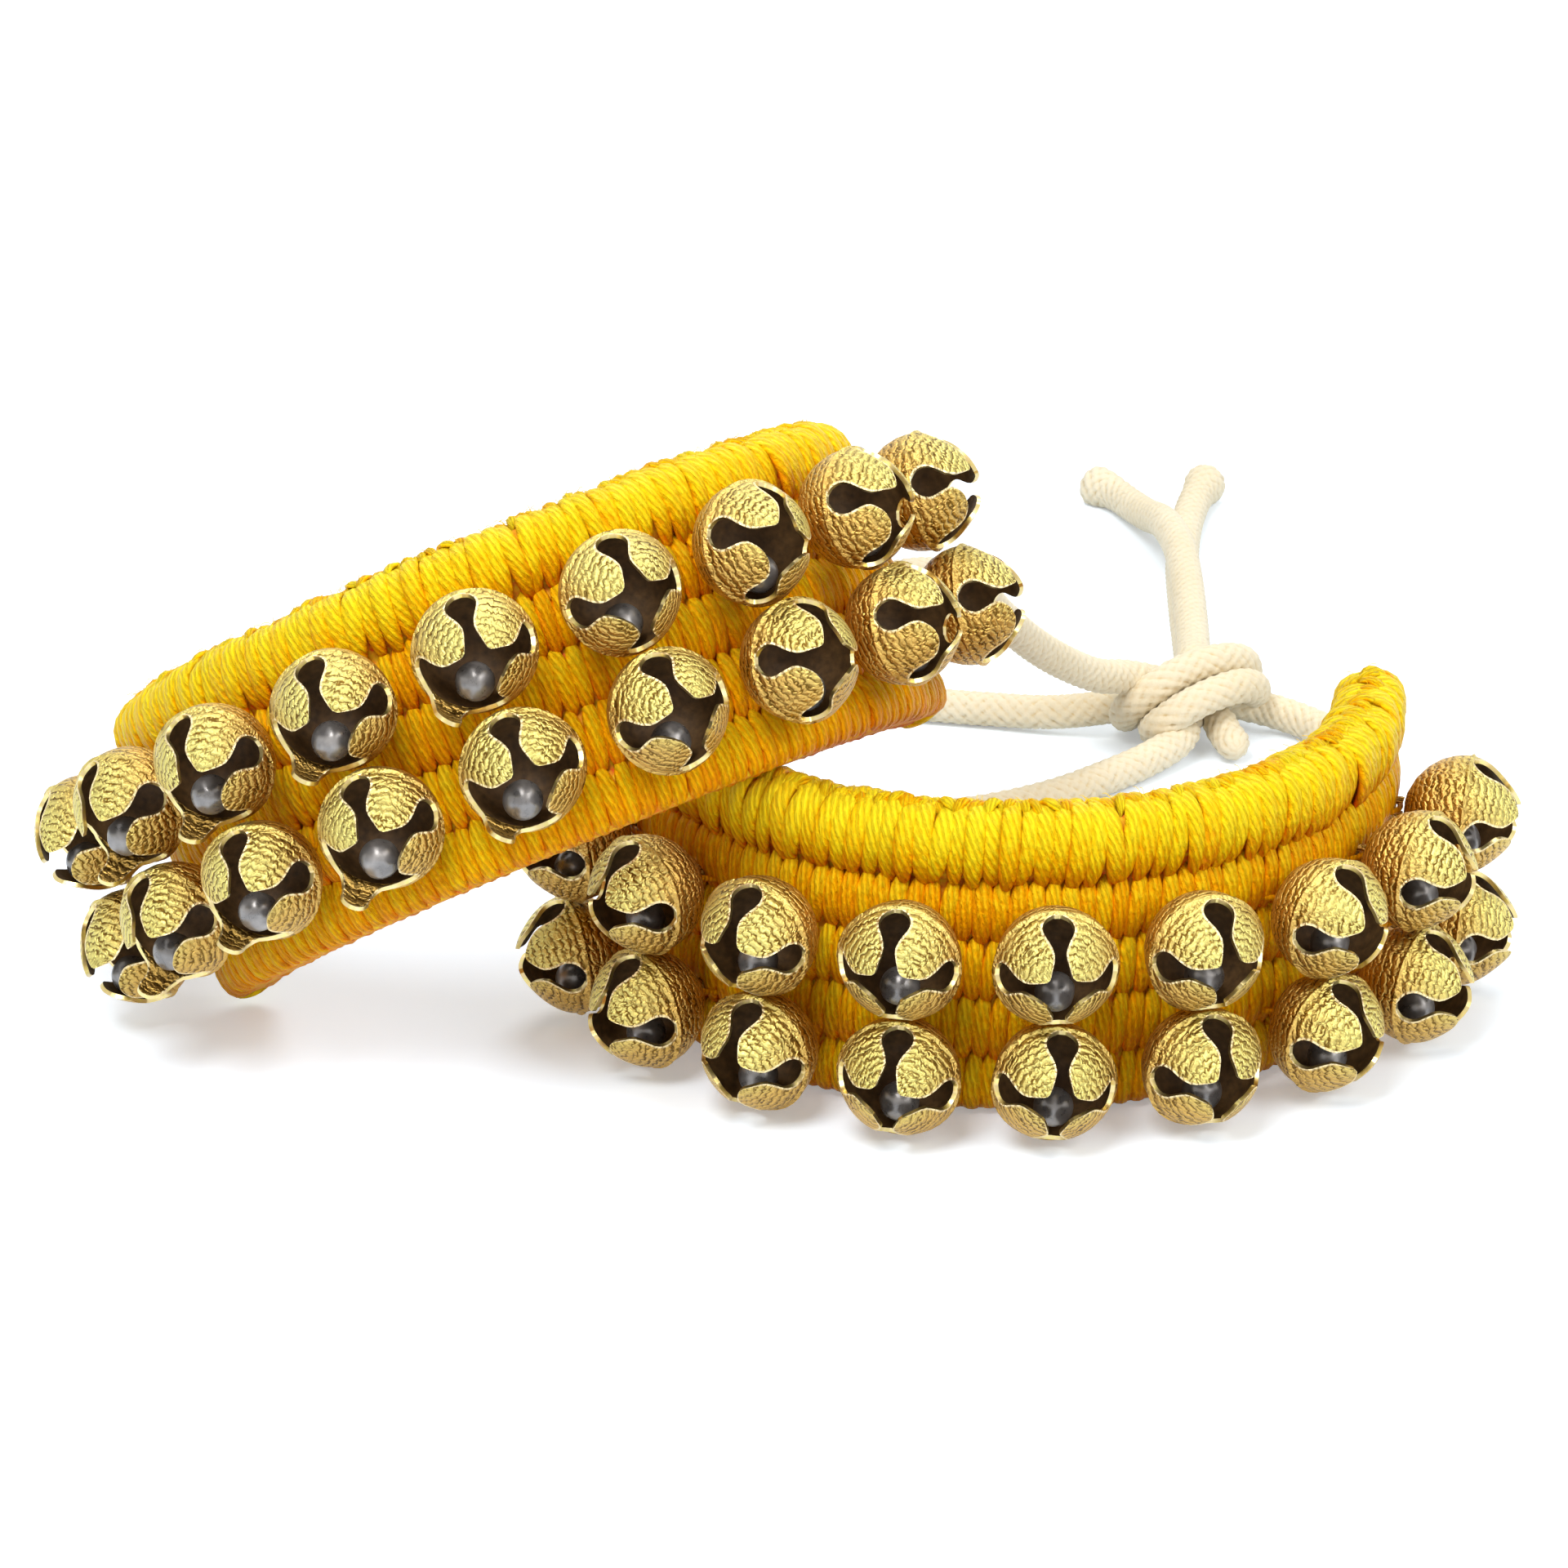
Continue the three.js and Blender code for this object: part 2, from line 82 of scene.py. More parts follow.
# Degrees that each leaning bell's mouth is turned right and down off its eyelet's axis, seen from its front
FACINGS = [(16, 7), (16, 7), (14, 7), (9, 7), (5, 7), (2, 4), (0, 0), (0, 0), (0, 0)]

# The bands' rows, in millimetres above the foot
ROW_SEAMS = [0, 10.25, 20.5, 30.75, 41, 53]

# Routes in millimetres: of the ties from the bands' ends to the knot, of its tails and of its strands
TIE_ROUTES = {
    "standing_left_tie": [
        [-21.3, 26.5, 25.6], [-23.4, 39, 25], [-21, 54, 20], [-13, 68, 11], [2, 79, 4.6], [22, 86, 3.3],
        [38, 91.5, 3.2], [49, 98, 3.2], [58, 106, 3.2], [66, 114, 3.4], [71.5, 120.5, 4.2], [74, 126, 5.5],
    ],
    "standing_right_tie": [
        [99.8, 35.8, 25.6], [100.3, 48, 25], [102, 64, 20.5], [104.5, 82, 11.5], [105.5, 100, 4.6],
        [103.5, 117, 3.3], [98, 129, 3.2], [89, 136, 4], [78, 135, 7],
    ],
    "leaning_left_tie": [
        [-97.2, 26.8, 23], [-97.9, 40, 17], [-98, 56, 9], [-95, 73, 4], [-86, 92, 3.2], [-70, 110, 3.2],
        [-48, 126, 3.2], [-22, 136, 3.2], [3, 140.5, 3.2], [23.3, 141, 3.2], [37, 138.5, 3.2],
        [49.5, 135, 4], [59.5, 133.5, 5.6], [66, 133, 7], [71, 133.5, 7.5],
    ],
    "leaning_right_tie": [
        [15.1, 39.8, 67.3], [17.6, 51, 62.8], [25, 62, 59.5], [32.5, 73, 53.5], [38.8, 88, 41.5],
        [45, 101, 31], [51.5, 112.5, 22.5], [57.5, 121, 16.8], [62, 127, 14.2], [67, 131.5, 11.5],
        [72, 134, 9],
    ],
}
TAIL_ROUTES = {
    "left_tail": [
        [75.2, 138, 12], [75.7, 150, 10.4], [76, 165, 9.7], [76, 188, 9.6], [75.3, 204, 9.6],
        [73.2, 219, 8.3], [70.6, 231, 5.2], [67.8, 241, 3.5], [64.4, 248.5, 3.2], [59.5, 253.5, 3.2],
    ],
    "right_tail": [
        [76, 138, 5.4], [76, 152, 3.4], [76, 168, 3.2], [76, 190, 3.2], [76.4, 210, 3.2], [77.8, 228, 3.2],
        [80.2, 243, 3.2], [83.5, 255.5, 3.2],
    ],
}
KNOT_ROUTES = [
    [[75, 143.5, 4.5], [69.5, 141.5, 4.3], [64.2, 136.5, 3.8], [62.8, 131, 5.2], [63.8, 126.8, 8.8],
     [67.5, 125.6, 12.3], [73, 127.5, 15], [79, 131, 15.6], [83.8, 136, 13.4], [84.5, 140.5, 8.8],
     [81, 143, 5], [76.5, 144, 4.5]],
    [[70.5, 131, 3.6], [68, 126.5, 4.2], [69, 122.2, 7], [73, 121.6, 10.2], [78.4, 124.2, 12],
     [83.4, 128.5, 11.8], [86, 133.5, 9.2], [85, 138, 5.6], [80, 140, 4], [76, 140.5, 4.5]],
    [[66, 136, 5.5], [69.5, 132, 7.5], [75, 130, 9], [80, 132, 9], [83, 136.5, 7]],
    [[76, 142, 9], [75.6, 137, 8.5], [74.6, 131, 6.6], [73, 125.5, 4.6]],
    [[79, 130, 6], [80.2, 125.5, 4.4], [82, 121, 3.4], [83, 119, 3.3]],
]


class BandLook(bpy.types.PropertyGroup):
    """Sizes and colours of the wrapped yarn bands."""
    stitches: IntProperty(name="Stitches per row", description="Bundles of yarn along one row",
                          default=68, min=8)
    crest: FloatProperty(name="Row crest", description="Half thickness of a row",
                         default=5.3 * MM, unit="LENGTH")
    top_crest: FloatProperty(name="Top row crest", description="Half thickness of the top row",
                             default=6.0 * MM, unit="LENGTH")
    seam: FloatProperty(name="Seam", description="Half thickness at a seam", default=3.4 * MM, unit="LENGTH")
    colour: FloatVectorProperty(name="Yarn", description="Colour of the yarn", subtype="COLOR", size=3,
                                default=(0.94, 0.645, 0.0), min=0, max=1)
    shade: FloatVectorProperty(name="Crease", description="Colour deep in the creases", subtype="COLOR",
                               size=3, default=(0.76, 0.1, 0.0), min=0, max=1)


class BellLook(bpy.types.PropertyGroup):
    """Sizes and colours of the bells and pellets."""
    radius: FloatProperty(name="Radius", description="Outside radius of a bell",
                          default=10 * MM, unit="LENGTH")
    sheet: FloatProperty(name="Sheet", description="Thickness of the brass", default=0.7 * MM, unit="LENGTH")
    hinge_rise: FloatProperty(name="Eyelet rise", description="From the cup's back to the eyelet's hole",
                              default=0.8 * MM, unit="LENGTH")
    pellet: FloatProperty(name="Pellet", description="Radius of a pellet", default=3.3 * MM, unit="LENGTH")
    brass: FloatVectorProperty(name="Brass", description="Colour of the brass", subtype="COLOR", size=3,
                               default=(0.765, 0.655, 0.2), min=0, max=1)
    tarnish: FloatVectorProperty(name="Tarnish", description="Colour of the brass in its hollows",
                                 subtype="COLOR", size=3, default=(0.15, 0.08, 0.012), min=0, max=1)
    inside: FloatVectorProperty(name="Inside", description="Colour of the bell's inside", subtype="COLOR",
                                size=3, default=(0.225, 0.12, 0.042), min=0, max=1)
    steel: FloatVectorProperty(name="Steel", description="Colour of the pellets", subtype="COLOR", size=3,
                               default=(0.23, 0.215, 0.205), min=0, max=1)


class TieLook(bpy.types.PropertyGroup):
    """Sizes and colours of the cotton ties."""
    diameter: FloatProperty(name="Diameter", description="Diameter of the cord",
                            default=6.4 * MM, unit="LENGTH")
    plait: FloatProperty(name="Plait", description="Length of one turn of the braid",
                         default=19 * MM, unit="LENGTH")
    strands: IntProperty(name="Strands", description="Strands that run each way round", default=8, min=3)
    colour: FloatVectorProperty(name="Cotton", description="Colour of the cotton", subtype="COLOR", size=3,
                                default=(0.77, 0.69, 0.51), min=0, max=1)


class Anklet:
    """Frame of one anklet, from its bells' hinges and its band's solid, on the arc's axis at the foot."""

    def __init__(self, name):
        self.name = name
        self.body = "pair" if name == "standing" else "leaning"
        places = (1, (BELLS_PER_ROW + 1) // 2, BELLS_PER_ROW)
        hinges = [JOINTS[f"{name}_bell_upper_{place}_rock"] for place in places]
        first, middle, last = (Vector(hinge["pos_m"]) for hinge in hinges)
        up = Vector(hinges[1]["axis"]).normalized()
        chord = last - first
        side = chord.normalized()
        back = up.cross(side)
        sagitta = ((first + last) / 2 - middle).dot(back)
        radius = (chord.length_squared / 4 + sagitta * sagitta) / (2 * sagitta)
        centre = middle + back * radius
        band = np.array([v.co for v in frame["nodes"][f"{name}_band"].data.vertices])
        foot = (band @ np.array(up)).min()
        origin = centre + up * (foot - centre.dot(up))
        self.matrix = Matrix((side, back, up)).transposed().to_4x4()
        self.matrix.translation = origin
        self.rotation = np.array(self.matrix.to_3x3())
        self.origin = np.array(origin)
        local = (band - self.origin) @ self.rotation
        reach = np.hypot(local[:, 0], local[:, 1])
        self.bend = (reach.min() + reach.max()) / 2
        self.half_arc = np.abs(np.arctan2(local[:, 0], -local[:, 1])).max()

    def points(self, angle, outside, z):
        """Points from angles along the arc, distances outside the band's middle and heights."""
        radius = self.bend + np.asarray(outside, float)
        angle = np.asarray(angle, float)
        local = np.stack(np.broadcast_arrays(radius * np.sin(angle), -radius * np.cos(angle), z), axis=-1)
        return local @ self.rotation.T + self.origin


ANKLETS = {name: Anklet(name) for name in ("standing", "leaning")}


class Bell:
    """Place of one bell, from its hinge: its centre, its axes and the way its mouth is turned."""

    def __init__(self, anklet, row, index, look):
        self.anklet = anklet
        self.index = index
        self.name = f"{anklet.name}_bell_{row}_{index + 1}"
        self.pellet = self.name.replace("bell", "pellet")
        hinge = JOINTS[f"{self.name}_rock"]
        self.hole = Vector(hinge["pos_m"])
        rise = Vector(hinge["axis"]).normalized()
        local = (self.hole - anklet.matrix.translation) @ anklet.matrix.to_3x3()
        outwards = (anklet.matrix.to_3x3() @ Vector((local.x, local.y, 0))).normalized()
        nod = math.radians(NOD[anklet.name])
        self.front = outwards * math.cos(nod) - rise * math.sin(nod)
        self.up = rise * math.cos(nod) + outwards * math.sin(nod)
        self.side = self.up.cross(self.front)
        self.centre = self.hole + self.front * (look.radius + look.hinge_rise)
        axes = Matrix((self.side, self.up, self.front)).transposed().to_4x4()
        roll = Matrix.Rotation(-math.radians(ROLLS[f"{anklet.name}_{row}"][index]), 4, "Z")
        self.matrix = Matrix.Translation(self.centre) @ axes @ roll
        right, down = FACINGS[index] if anklet.name == "leaning" else (0, 0)
        facing = Matrix.Rotation(math.radians(right), 4, "Y") @ Matrix.Rotation(math.radians(down), 4, "X")
        self.facing = np.array((roll.inverted() @ facing @ roll).to_3x3())


def all_bells():
    """Every bell of both anklets, row by row."""
    look = bpy.context.scene.ghungroo_bell
    for anklet in ANKLETS.values():
        for row in BELL_ROWS:
            for index in range(BELLS_PER_ROW):
                yield Bell(anklet, row, index, look)


# Meshes

CURVE_STEPS = 24
STEEP = 0.9
SIDEWAYS = np.array([1.0, 0, 0])


def mesh_object(name, vertices, faces, materials, attributes=None, slots=None):
    """A smooth mesh object at the origin, with point attributes and a material slot for each face."""
    mesh = bpy.data.meshes.new(name)
    mesh.from_pydata(np.asarray(vertices, float).tolist(), [], faces)
    for key, values in (attributes or {}).items():
        values = np.asarray(values, np.float32)
        kind, field = ("FLOAT", "value") if values.ndim == 1 else ("FLOAT_VECTOR", "vector")
        mesh.attributes.new(key, kind, "POINT").data.foreach_set(field, values.ravel())
    for material in materials:
        mesh.materials.append(material)
    if slots is not None:
        mesh.polygons.foreach_set("material_index", slots)
    mesh.shade_smooth()
    mesh.validate()
    made = bpy.data.objects.new(name, mesh)
    bpy.context.scene.collection.objects.link(made)
    return made


def face_outwards(mesh):
    """Turn the faces of a closed mesh outwards."""
    sheet = bmesh.new()
    sheet.from_mesh(mesh)
    bmesh.ops.recalc_face_normals(sheet, faces=sheet.faces)
    sheet.to_mesh(mesh)
    sheet.free()


def loft(rings):
    """Vertices and faces of a tube through rings of points, closed at both ends."""
    count, sides, _ = rings.shape
    faces = []
    for ring in range(count - 1):
        for side in range(sides):
            a = ring * sides + side
            b = ring * sides + (side + 1) % sides
            faces.append((a, b, b + sides, a + sides))
    faces.append(tuple(reversed(range(sides))))
    faces.append(tuple(range((count - 1) * sides, count * sides)))
    return rings.reshape(-1, 3), faces


def joined(parts):
    """Several (vertices, faces) as one."""
    vertices, faces, start = [], [], 0
    for part_vertices, part_faces in parts:
        vertices.append(part_vertices)
        faces += [tuple(start + corner for corner in face) for face in part_faces]
        start += len(part_vertices)
    return np.vstack(vertices), faces


def unit(vectors):
    return vectors / np.linalg.norm(vectors, axis=-1, keepdims=True)


def distances(path):
    """Distance of each point of a path from its start."""
    return np.concatenate([[0], np.cumsum(np.linalg.norm(np.diff(path, axis=0), axis=1))])


def full_turn(sides):
    return np.linspace(0, 2 * math.pi, sides, endpoint=False)


def path_frames(path, start_normal=None):
    """Normals and binormals along a path, turning as little as they can."""
    tangents = unit(np.gradient(path, axis=0))
    normal = np.array([0, 0, 1.0]) if start_normal is None else np.asarray(start_normal, float)
    if abs(normal @ tangents[0]) > STEEP:
        normal = SIDEWAYS
    normals = []
    for tangent in tangents:
        normal = unit(normal - tangent * (normal @ tangent))
        normals.append(normal)
    normals = np.array(normals)
    return normals, np.cross(tangents, normals)


def oval_rings(path, around, tall, wide, start_normal=None):
    """Rings about a path's points, as far as tall along its normals and wide along its binormals."""
    normals, binormals = path_frames(path, start_normal)
    return (np.cos(around)[None, :, None] * normals[:, None] * tall
            + np.sin(around)[None, :, None] * binormals[:, None] * wide)


def tube(path, radius, sides, start_normal=None):
    """A plain round tube along a path."""
    return loft(path[:, None] + oval_rings(path, full_turn(sides), radius, radius, start_normal))


def smooth_route(route, spacing):
    """Evenly spaced points, in metres, on the centripetal curve through a route given in millimetres."""
    knots = np.array(route, float) * MM
    knots = np.vstack([2 * knots[0] - knots[1], knots, 2 * knots[-1] - knots[-2]])
    share = np.linspace(0, 1, CURVE_STEPS, endpoint=False)[:, None]
    curve = []
    for a, b, c, d in zip(knots, knots[1:], knots[2:], knots[3:]):
        before, here, after = (math.sqrt(np.linalg.norm(q - p)) for p, q in ((a, b), (b, c), (c, d)))
        leave = ((b - a) / before - (c - a) / (before + here) + (c - b) / here) * here
        reach = ((c - b) / here - (d - b) / (here + after) + (d - c) / after) * here
        t2, t3 = share ** 2, share ** 3
        curve.append((2 * t3 - 3 * t2 + 1) * b + (t3 - 2 * t2 + share) * leave
                     + (3 * t2 - 2 * t3) * c + (t3 - t2) * reach)
    curve = np.vstack([*curve, knots[-2][None]])
    along = distances(curve)
    even = np.linspace(0, along[-1], max(int(along[-1] / spacing), 4) + 1)
    return np.stack([np.interp(even, along, curve[:, axis]) for axis in range(3)], axis=1)


# Nodes

def new_material(name, **inputs):
    """A material with its Principled shader, ready for nodes, with the inputs that are even all over."""
    material = bpy.data.materials.new(name)
    material.use_nodes = True
    shader = material.node_tree.nodes["Principled BSDF"]
    for key, value in inputs.items():
        shader.inputs[key.replace("_", " ")].default_value = value
    return material, material.node_tree, shader


def add(tree, kind, inputs=None, **settings):
    """A node with its settings, its inputs given as values or as sockets to link from."""
    node = tree.nodes.new(kind)
    for key, value in settings.items():
        setattr(node, key, value)
    for key, value in (inputs or {}).items():
        if isinstance(value, bpy.types.NodeSocket):
            tree.links.new(value, node.inputs[key])
        else:
            node.inputs[key].default_value = value
    return node


def attribute(tree, name, output="Fac"):
    return add(tree, "ShaderNodeAttribute", attribute_name=name).outputs[output]


def object_place(tree):
    return add(tree, "ShaderNodeTexCoord").outputs["Object"]


def noise(tree, place, scale, detail, seed=None, roughness=0.5):
    """Noise over a place, of its own kind for each seed where a seed is given."""
    inputs = {"Vector": place, "Scale": scale, "Detail": detail, "Roughness": roughness}
    if seed is None:
        return add(tree, "ShaderNodeTexNoise", inputs).outputs[0]
    return add(tree, "ShaderNodeTexNoise", {**inputs, "W": seed}, noise_dimensions="4D").outputs[0]


def math_node(tree, operation, first, second=0.0):
    return add(tree, "ShaderNodeMath", {0: first, 1: second}, operation=operation).outputs[0]


def weighted(tree, *terms):
    """Sum of sockets, each times its weight."""
    total = None
    for socket, weight in terms:
        part = math_node(tree, "MULTIPLY", socket, weight)
        total = part if total is None else math_node(tree, "ADD", total, part)
    return total


def ramp(tree, factor, low, high, start=0.0, end=1.0):
    """A factor stretched so that low becomes the start and high becomes the end."""
    return add(tree, "ShaderNodeMapRange", {0: factor, 1: low, 2: high, 3: start, 4: end}).outputs[0]


def mix_colour(tree, factor, first, second):
    """Colour mixed from two colours or sockets by a factor."""
    # A mix of colours takes them at inputs 6 and 7, and gives its result at output 2
    first, second = (colour if isinstance(colour, bpy.types.NodeSocket) else (*colour, 1.0)
                     for colour in (first, second))
    return add(tree, "ShaderNodeMix", {0: factor, 6: first, 7: second}, data_type="RGBA").outputs[2]


def set_surface(tree, shader, colour, height=None, strength=0.0, depth=0.0):
    """Link a shader's colour, and the bump of a height field where one is given."""
    tree.links.new(colour, shader.inputs["Base Color"])
    if height is not None:
        bump = add(tree, "ShaderNodeBump", {"Height": height, "Strength": strength, "Distance": depth})
        tree.links.new(bump.outputs[0], shader.inputs["Normal"])


def darker(colour, *shares):
    """A colour times one share, or a share for each channel."""
    shares = shares if len(shares) == 3 else shares * 3
    return [share * channel for share, channel in zip(shares, colour)]


def seen_rays(tree):
    """1 for the rays that show the background: from the camera, off gloss and through glass."""
    path = tree.nodes.new("ShaderNodeLightPath").outputs
    mirrored = math_node(tree, "MAXIMUM", path["Is Camera Ray"], path["Is Glossy Ray"])
    return math_node(tree, "MAXIMUM", mirrored, path["Is Transmission Ray"])


# Materials

# Painted shade: the warm bronze of the bells' sides, back and underside, away from the lamps, with the yarn's
# painted warm reflection
PAINTED_SHADE_BRASS = (0.6, 0.38, 0.1)
# Painted highlight: a pale strip on the outer face along the petals' cut edges, where the light catches them
EDGE_HIGHLIGHT_BRASS = (0.85, 0.69, 0.38)
EDGE_BRASS = (0.8, 0.63, 0.34)
# Warm orange of the yarn at low tints: partly a random tone, partly the painted shade of the rows between the
# bells
WARM_TONE_AND_SHADE_YARN = (0.98, 0.36, 0.0)
# Painted highlight: the pale yellow put on the yarn's crests
PAINTED_SHINE_YARN = (0.97, 0.79, 0.02)

# Waves of the brass for each radian, and how far the noise and the scallops push them
RIPPLES = 44.0
RIPPLE_WANDER = 10.5
SCALLOPS = 26.0
SCALLOP_WANDER = 30.0
SCALLOP_PUSH = 1.05

# Shares of the yarn's length that its strands and flecks are drawn out by
STRAND_SHARE = 0.1
FLECK_SHARE = 0.35
TINT_LAYERS = 40.0


def brass_material(look):
    """Pressed brass sheet: wavy ripples that run round the bell, with tarnish in their hollows, painted shade
    in warm bronze on the sides, back and underside, and a painted highlight along the cut edges.
    """
    material, tree, shader = new_material("pressed_brass", Metallic=1.0)
    place, seed = attribute(tree, "bell_place", "Vector"), attribute(tree, "bell_seed")
    wander = noise(tree, place, 0.46, 2.0, seed)
    patches = noise(tree, place, 0.28, 5.0, seed, 0.65)
    grain = noise(tree, place, 2.6, 3.0, seed)
    side, up, front = add(tree, "ShaderNodeSeparateXYZ", {0: place}).outputs
    length = add(tree, "ShaderNodeVectorMath", {0: place}, operation="LENGTH").outputs["Value"]
    polar = math_node(tree, "ARCCOSINE", math_node(tree, "DIVIDE", front, length))
    azimuth = math_node(tree, "ARCTAN2", side, up)
    scallops = math_node(tree, "SINE", weighted(tree, (azimuth, SCALLOPS), (wander, SCALLOP_WANDER)))
    phase = weighted(tree, (polar, RIPPLES), (wander, RIPPLE_WANDER), (scallops, SCALLOP_PUSH))
    wave = math_node(tree, "SINE", phase)
    hollows = ramp(tree, weighted(tree, (wave, 1.0), (patches, 1.6)), 0.35, -0.25)
    fresh = mix_colour(tree, ramp(tree, patches, 0.35, 0.7), look.brass, darker(look.brass, 0.82))
    # Painted shade: the brass turns warm bronze on the sides, back and underside, away from the lamps
    away_from_lamps = ramp(tree, weighted(tree, (up, 0.6), (front, 0.8)), 8.6, 2.5)
    rippled = mix_colour(tree, hollows, mix_colour(tree, away_from_lamps, fresh, PAINTED_SHADE_BRASS), look.tarnish)
    # Painted highlight along the cut edges of the outer face
    edge_highlighted = mix_colour(tree, ramp(tree, attribute(tree, "cut_edge"), 0.55, 0.8), rippled, EDGE_HIGHLIGHT_BRASS)
    tree.links.new(ramp(tree, patches, 0.2, 0.8, 0.295, 0.515), shader.inputs["Roughness"])
    set_surface(tree, shader, edge_highlighted, weighted(tree, (wave, 1.0), (grain, 2.2)), 0.75, 0.16 * MM)
    return material


def inside_material(look):
    """The bell's inside: dull, dark and sooty brown brass."""
    material, tree, shader = new_material("brass_inside", Metallic=0.15, Roughness=0.55)
    soot = noise(tree, attribute(tree, "bell_place", "Vector"), 0.7, 6.0)
    colour = mix_colour(tree, ramp(tree, soot, 0.3, 0.7), look.inside, darker(look.inside, 0.45))
    set_surface(tree, shader, colour, soot, 0.5, 0.2 * MM)
    return material


def edge_material(look):
    """The sheet's cut edge, in a paler brass that varies at random."""
    material, tree, shader = new_material("brass_edge", Metallic=1.0, Roughness=0.3)
    wear = noise(tree, attribute(tree, "bell_place", "Vector"), 1.4, 4.0)
    set_surface(tree, shader, mix_colour(tree, ramp(tree, wear, 0.35, 0.75), EDGE_BRASS, look.brass))
    return material


def steel_material(look):
    """Dark, scuffed steel of the pellets."""
    material, tree, shader = new_material("pellet_steel", Metallic=0.5)
    scuffs = noise(tree, object_place(tree), 420.0, 6.0)
    pale = [1.9 * channel for channel in look.steel]
    tree.links.new(ramp(tree, scuffs, 0.3, 0.7, 0.22, 0.42), shader.inputs["Roughness"])
    colour = mix_colour(tree, ramp(tree, scuffs, 0.4, 0.75), look.steel, pale)
    set_surface(tree, shader, colour, scuffs, 0.3, 0.1 * MM)
    return material


def yarn_material(look):
    """Silky yarn: fine strands along each stitch, with painted shade in its creases and towards its lower
    end, lighter towards its upper end, and a painted highlight on its crests.
    """
    material, tree, shader = new_material(
        "silky_yarn", Roughness=0.45, Specular_IOR_Level=0.35, Specular_Tint=(1.0, 0.75, 0.1, 1.0))
    tint = attribute(tree, "tint")
    across, along, lift = add(tree, "ShaderNodeSeparateXYZ", {0: attribute(tree, "strand", "Vector")}).outputs
    twist = ramp(tree, tint, 0.0, 1.0, 0.06, 0.34)
    slanted = math_node(tree, "ADD", across, math_node(tree, "MULTIPLY", along, twist))
    layer = math_node(tree, "MULTIPLY", tint, TINT_LAYERS)

    def drawn_out(share):
        """Place on the strands, shortened lengthways so that a pattern is drawn out."""
        lengthways = math_node(tree, "MULTIPLY", along, share)
        return add(tree, "ShaderNodeCombineXYZ", {0: slanted, 1: lengthways, 2: layer}).outputs[0]

    strands = noise(tree, drawn_out(STRAND_SHARE), 6.5, 4.0, roughness=0.65)
    fibres = ramp(tree, strands, 0.32, 0.68)
    plies = math_node(tree, "SINE", weighted(tree, (slanted, 10.0), (strands, 8.0)))
    flecks = ramp(tree, noise(tree, drawn_out(FLECK_SHARE), 2.4, 3.0), 0.36, 0.64)
    # Painted shade: the crease colour comes in where a stitch is low above its crease and towards its lower
    # end, and its upper end is painted lighter
    depth = weighted(
        tree, (lift, 0.6), (plies, 0.07), (fibres, 0.27), (flecks, 0.22), (along, 0.045), (tint, 0.4))
    # Low tints go warm orange: a random tone, and the painted shade of the rows between the bells
    tone = mix_colour(tree, tint, WARM_TONE_AND_SHADE_YARN, look.colour)
    body = mix_colour(tree, ramp(tree, depth, 0.28, 1.0), look.shade, tone)
    # Painted highlight: pale yellow on the crests
    shine = ramp(tree, weighted(tree, (depth, 1.0), (tint, 0.2)), 1.0, 1.5, 0.0, 0.75)
    relief = weighted(tree, (fibres, 1.0), (plies, 0.3), (flecks, 0.9))
    set_surface(tree, shader, mix_colour(tree, shine, body, PAINTED_SHINE_YARN), relief, 1.0, 0.2 * MM)
    return material


def core_material(look):
    """The wadding under the yarn, seen only deep between stitches."""
    material, tree, shader = new_material("yarn_core", Roughness=0.8)
    fluff = noise(tree, object_place(tree), 900.0, 4.0)
    # Painted shade: the wadding, seen only deep between stitches, takes the yarn's crease colour, mixed at
    # random with a darker yarn colour
    colour = mix_colour(tree, ramp(tree, fluff, 0.3, 0.7), look.shade, darker(look.colour, 0.9))
    set_surface(tree, shader, colour, fluff, 0.6, 0.4 * MM)
    return material


def cotton_material(look):
    """Matt braided cotton: fine fibres along the strands, with painted shade, darker and warmer, in the
    hollows of the plait.
    """
    material, tree, shader = new_material("braided_cotton", Roughness=0.9, Sheen_Weight=0.2)
    place = object_place(tree)
    fibres, stain = noise(tree, place, 1500.0, 3.0), noise(tree, place, 60.0, 3.0)
    worn = darker(look.colour, 0.95, 0.92, 0.86)
    clean = mix_colour(tree, ramp(tree, stain, 0.35, 0.7), look.colour, worn)
    # Painted shade in the hollows of the plait, where the strands dip
    raised = ramp(tree, weighted(tree, (attribute(tree, "plait"), 1.0), (fibres, 0.3)), 0.2, 0.9)
    colour = mix_colour(tree, raised, darker(look.colour, 0.88, 0.74, 0.48), clean)
    set_surface(tree, shader, colour, fibres, 0.6, 0.2 * MM)
    return material


# Bells, with angles in degrees from the front pole

PETALS = 4
PETAL_COLUMNS = 9
SLOT_COLUMNS = 3
PETAL_SHARES = np.array([
    0, 0.008, 0.03, 0.065, 0.11, 0.17, 0.24, 0.33, 0.44, 0.55, 0.65, 0.73, 0.8, 0.86, 0.91, 0.95, 0.98, 1.0])
RIM_ANGLE = 84
CUP_ROWS = np.radians([85, 86, 87, 88, 89.3, 91, 97, 106, 118, 132, 148, 164, 174])
RIM_RIDGE = 0.4 * MM
RIDGE_ANGLE = 87
RIDGE_WIDTH = 1.8
FLATTENING = 0.07
DENT_DEPTH = 0.07 * MM
DENTS = 3

# Half widths of a slot in millimetres at angles from the pole, up to its round head
SLOT_SHAPE = [(13, 1.2), (28, 1.1), (36, 1.0), (42, 1.05), (48, 1.4), (56, 2.0), (63, 2.6), (68, 2.75)]
SLOT_HEAD = SLOT_SHAPE[-1]
LEAST_HEAD = 0.5
WIDEST_SLOT = 0.7

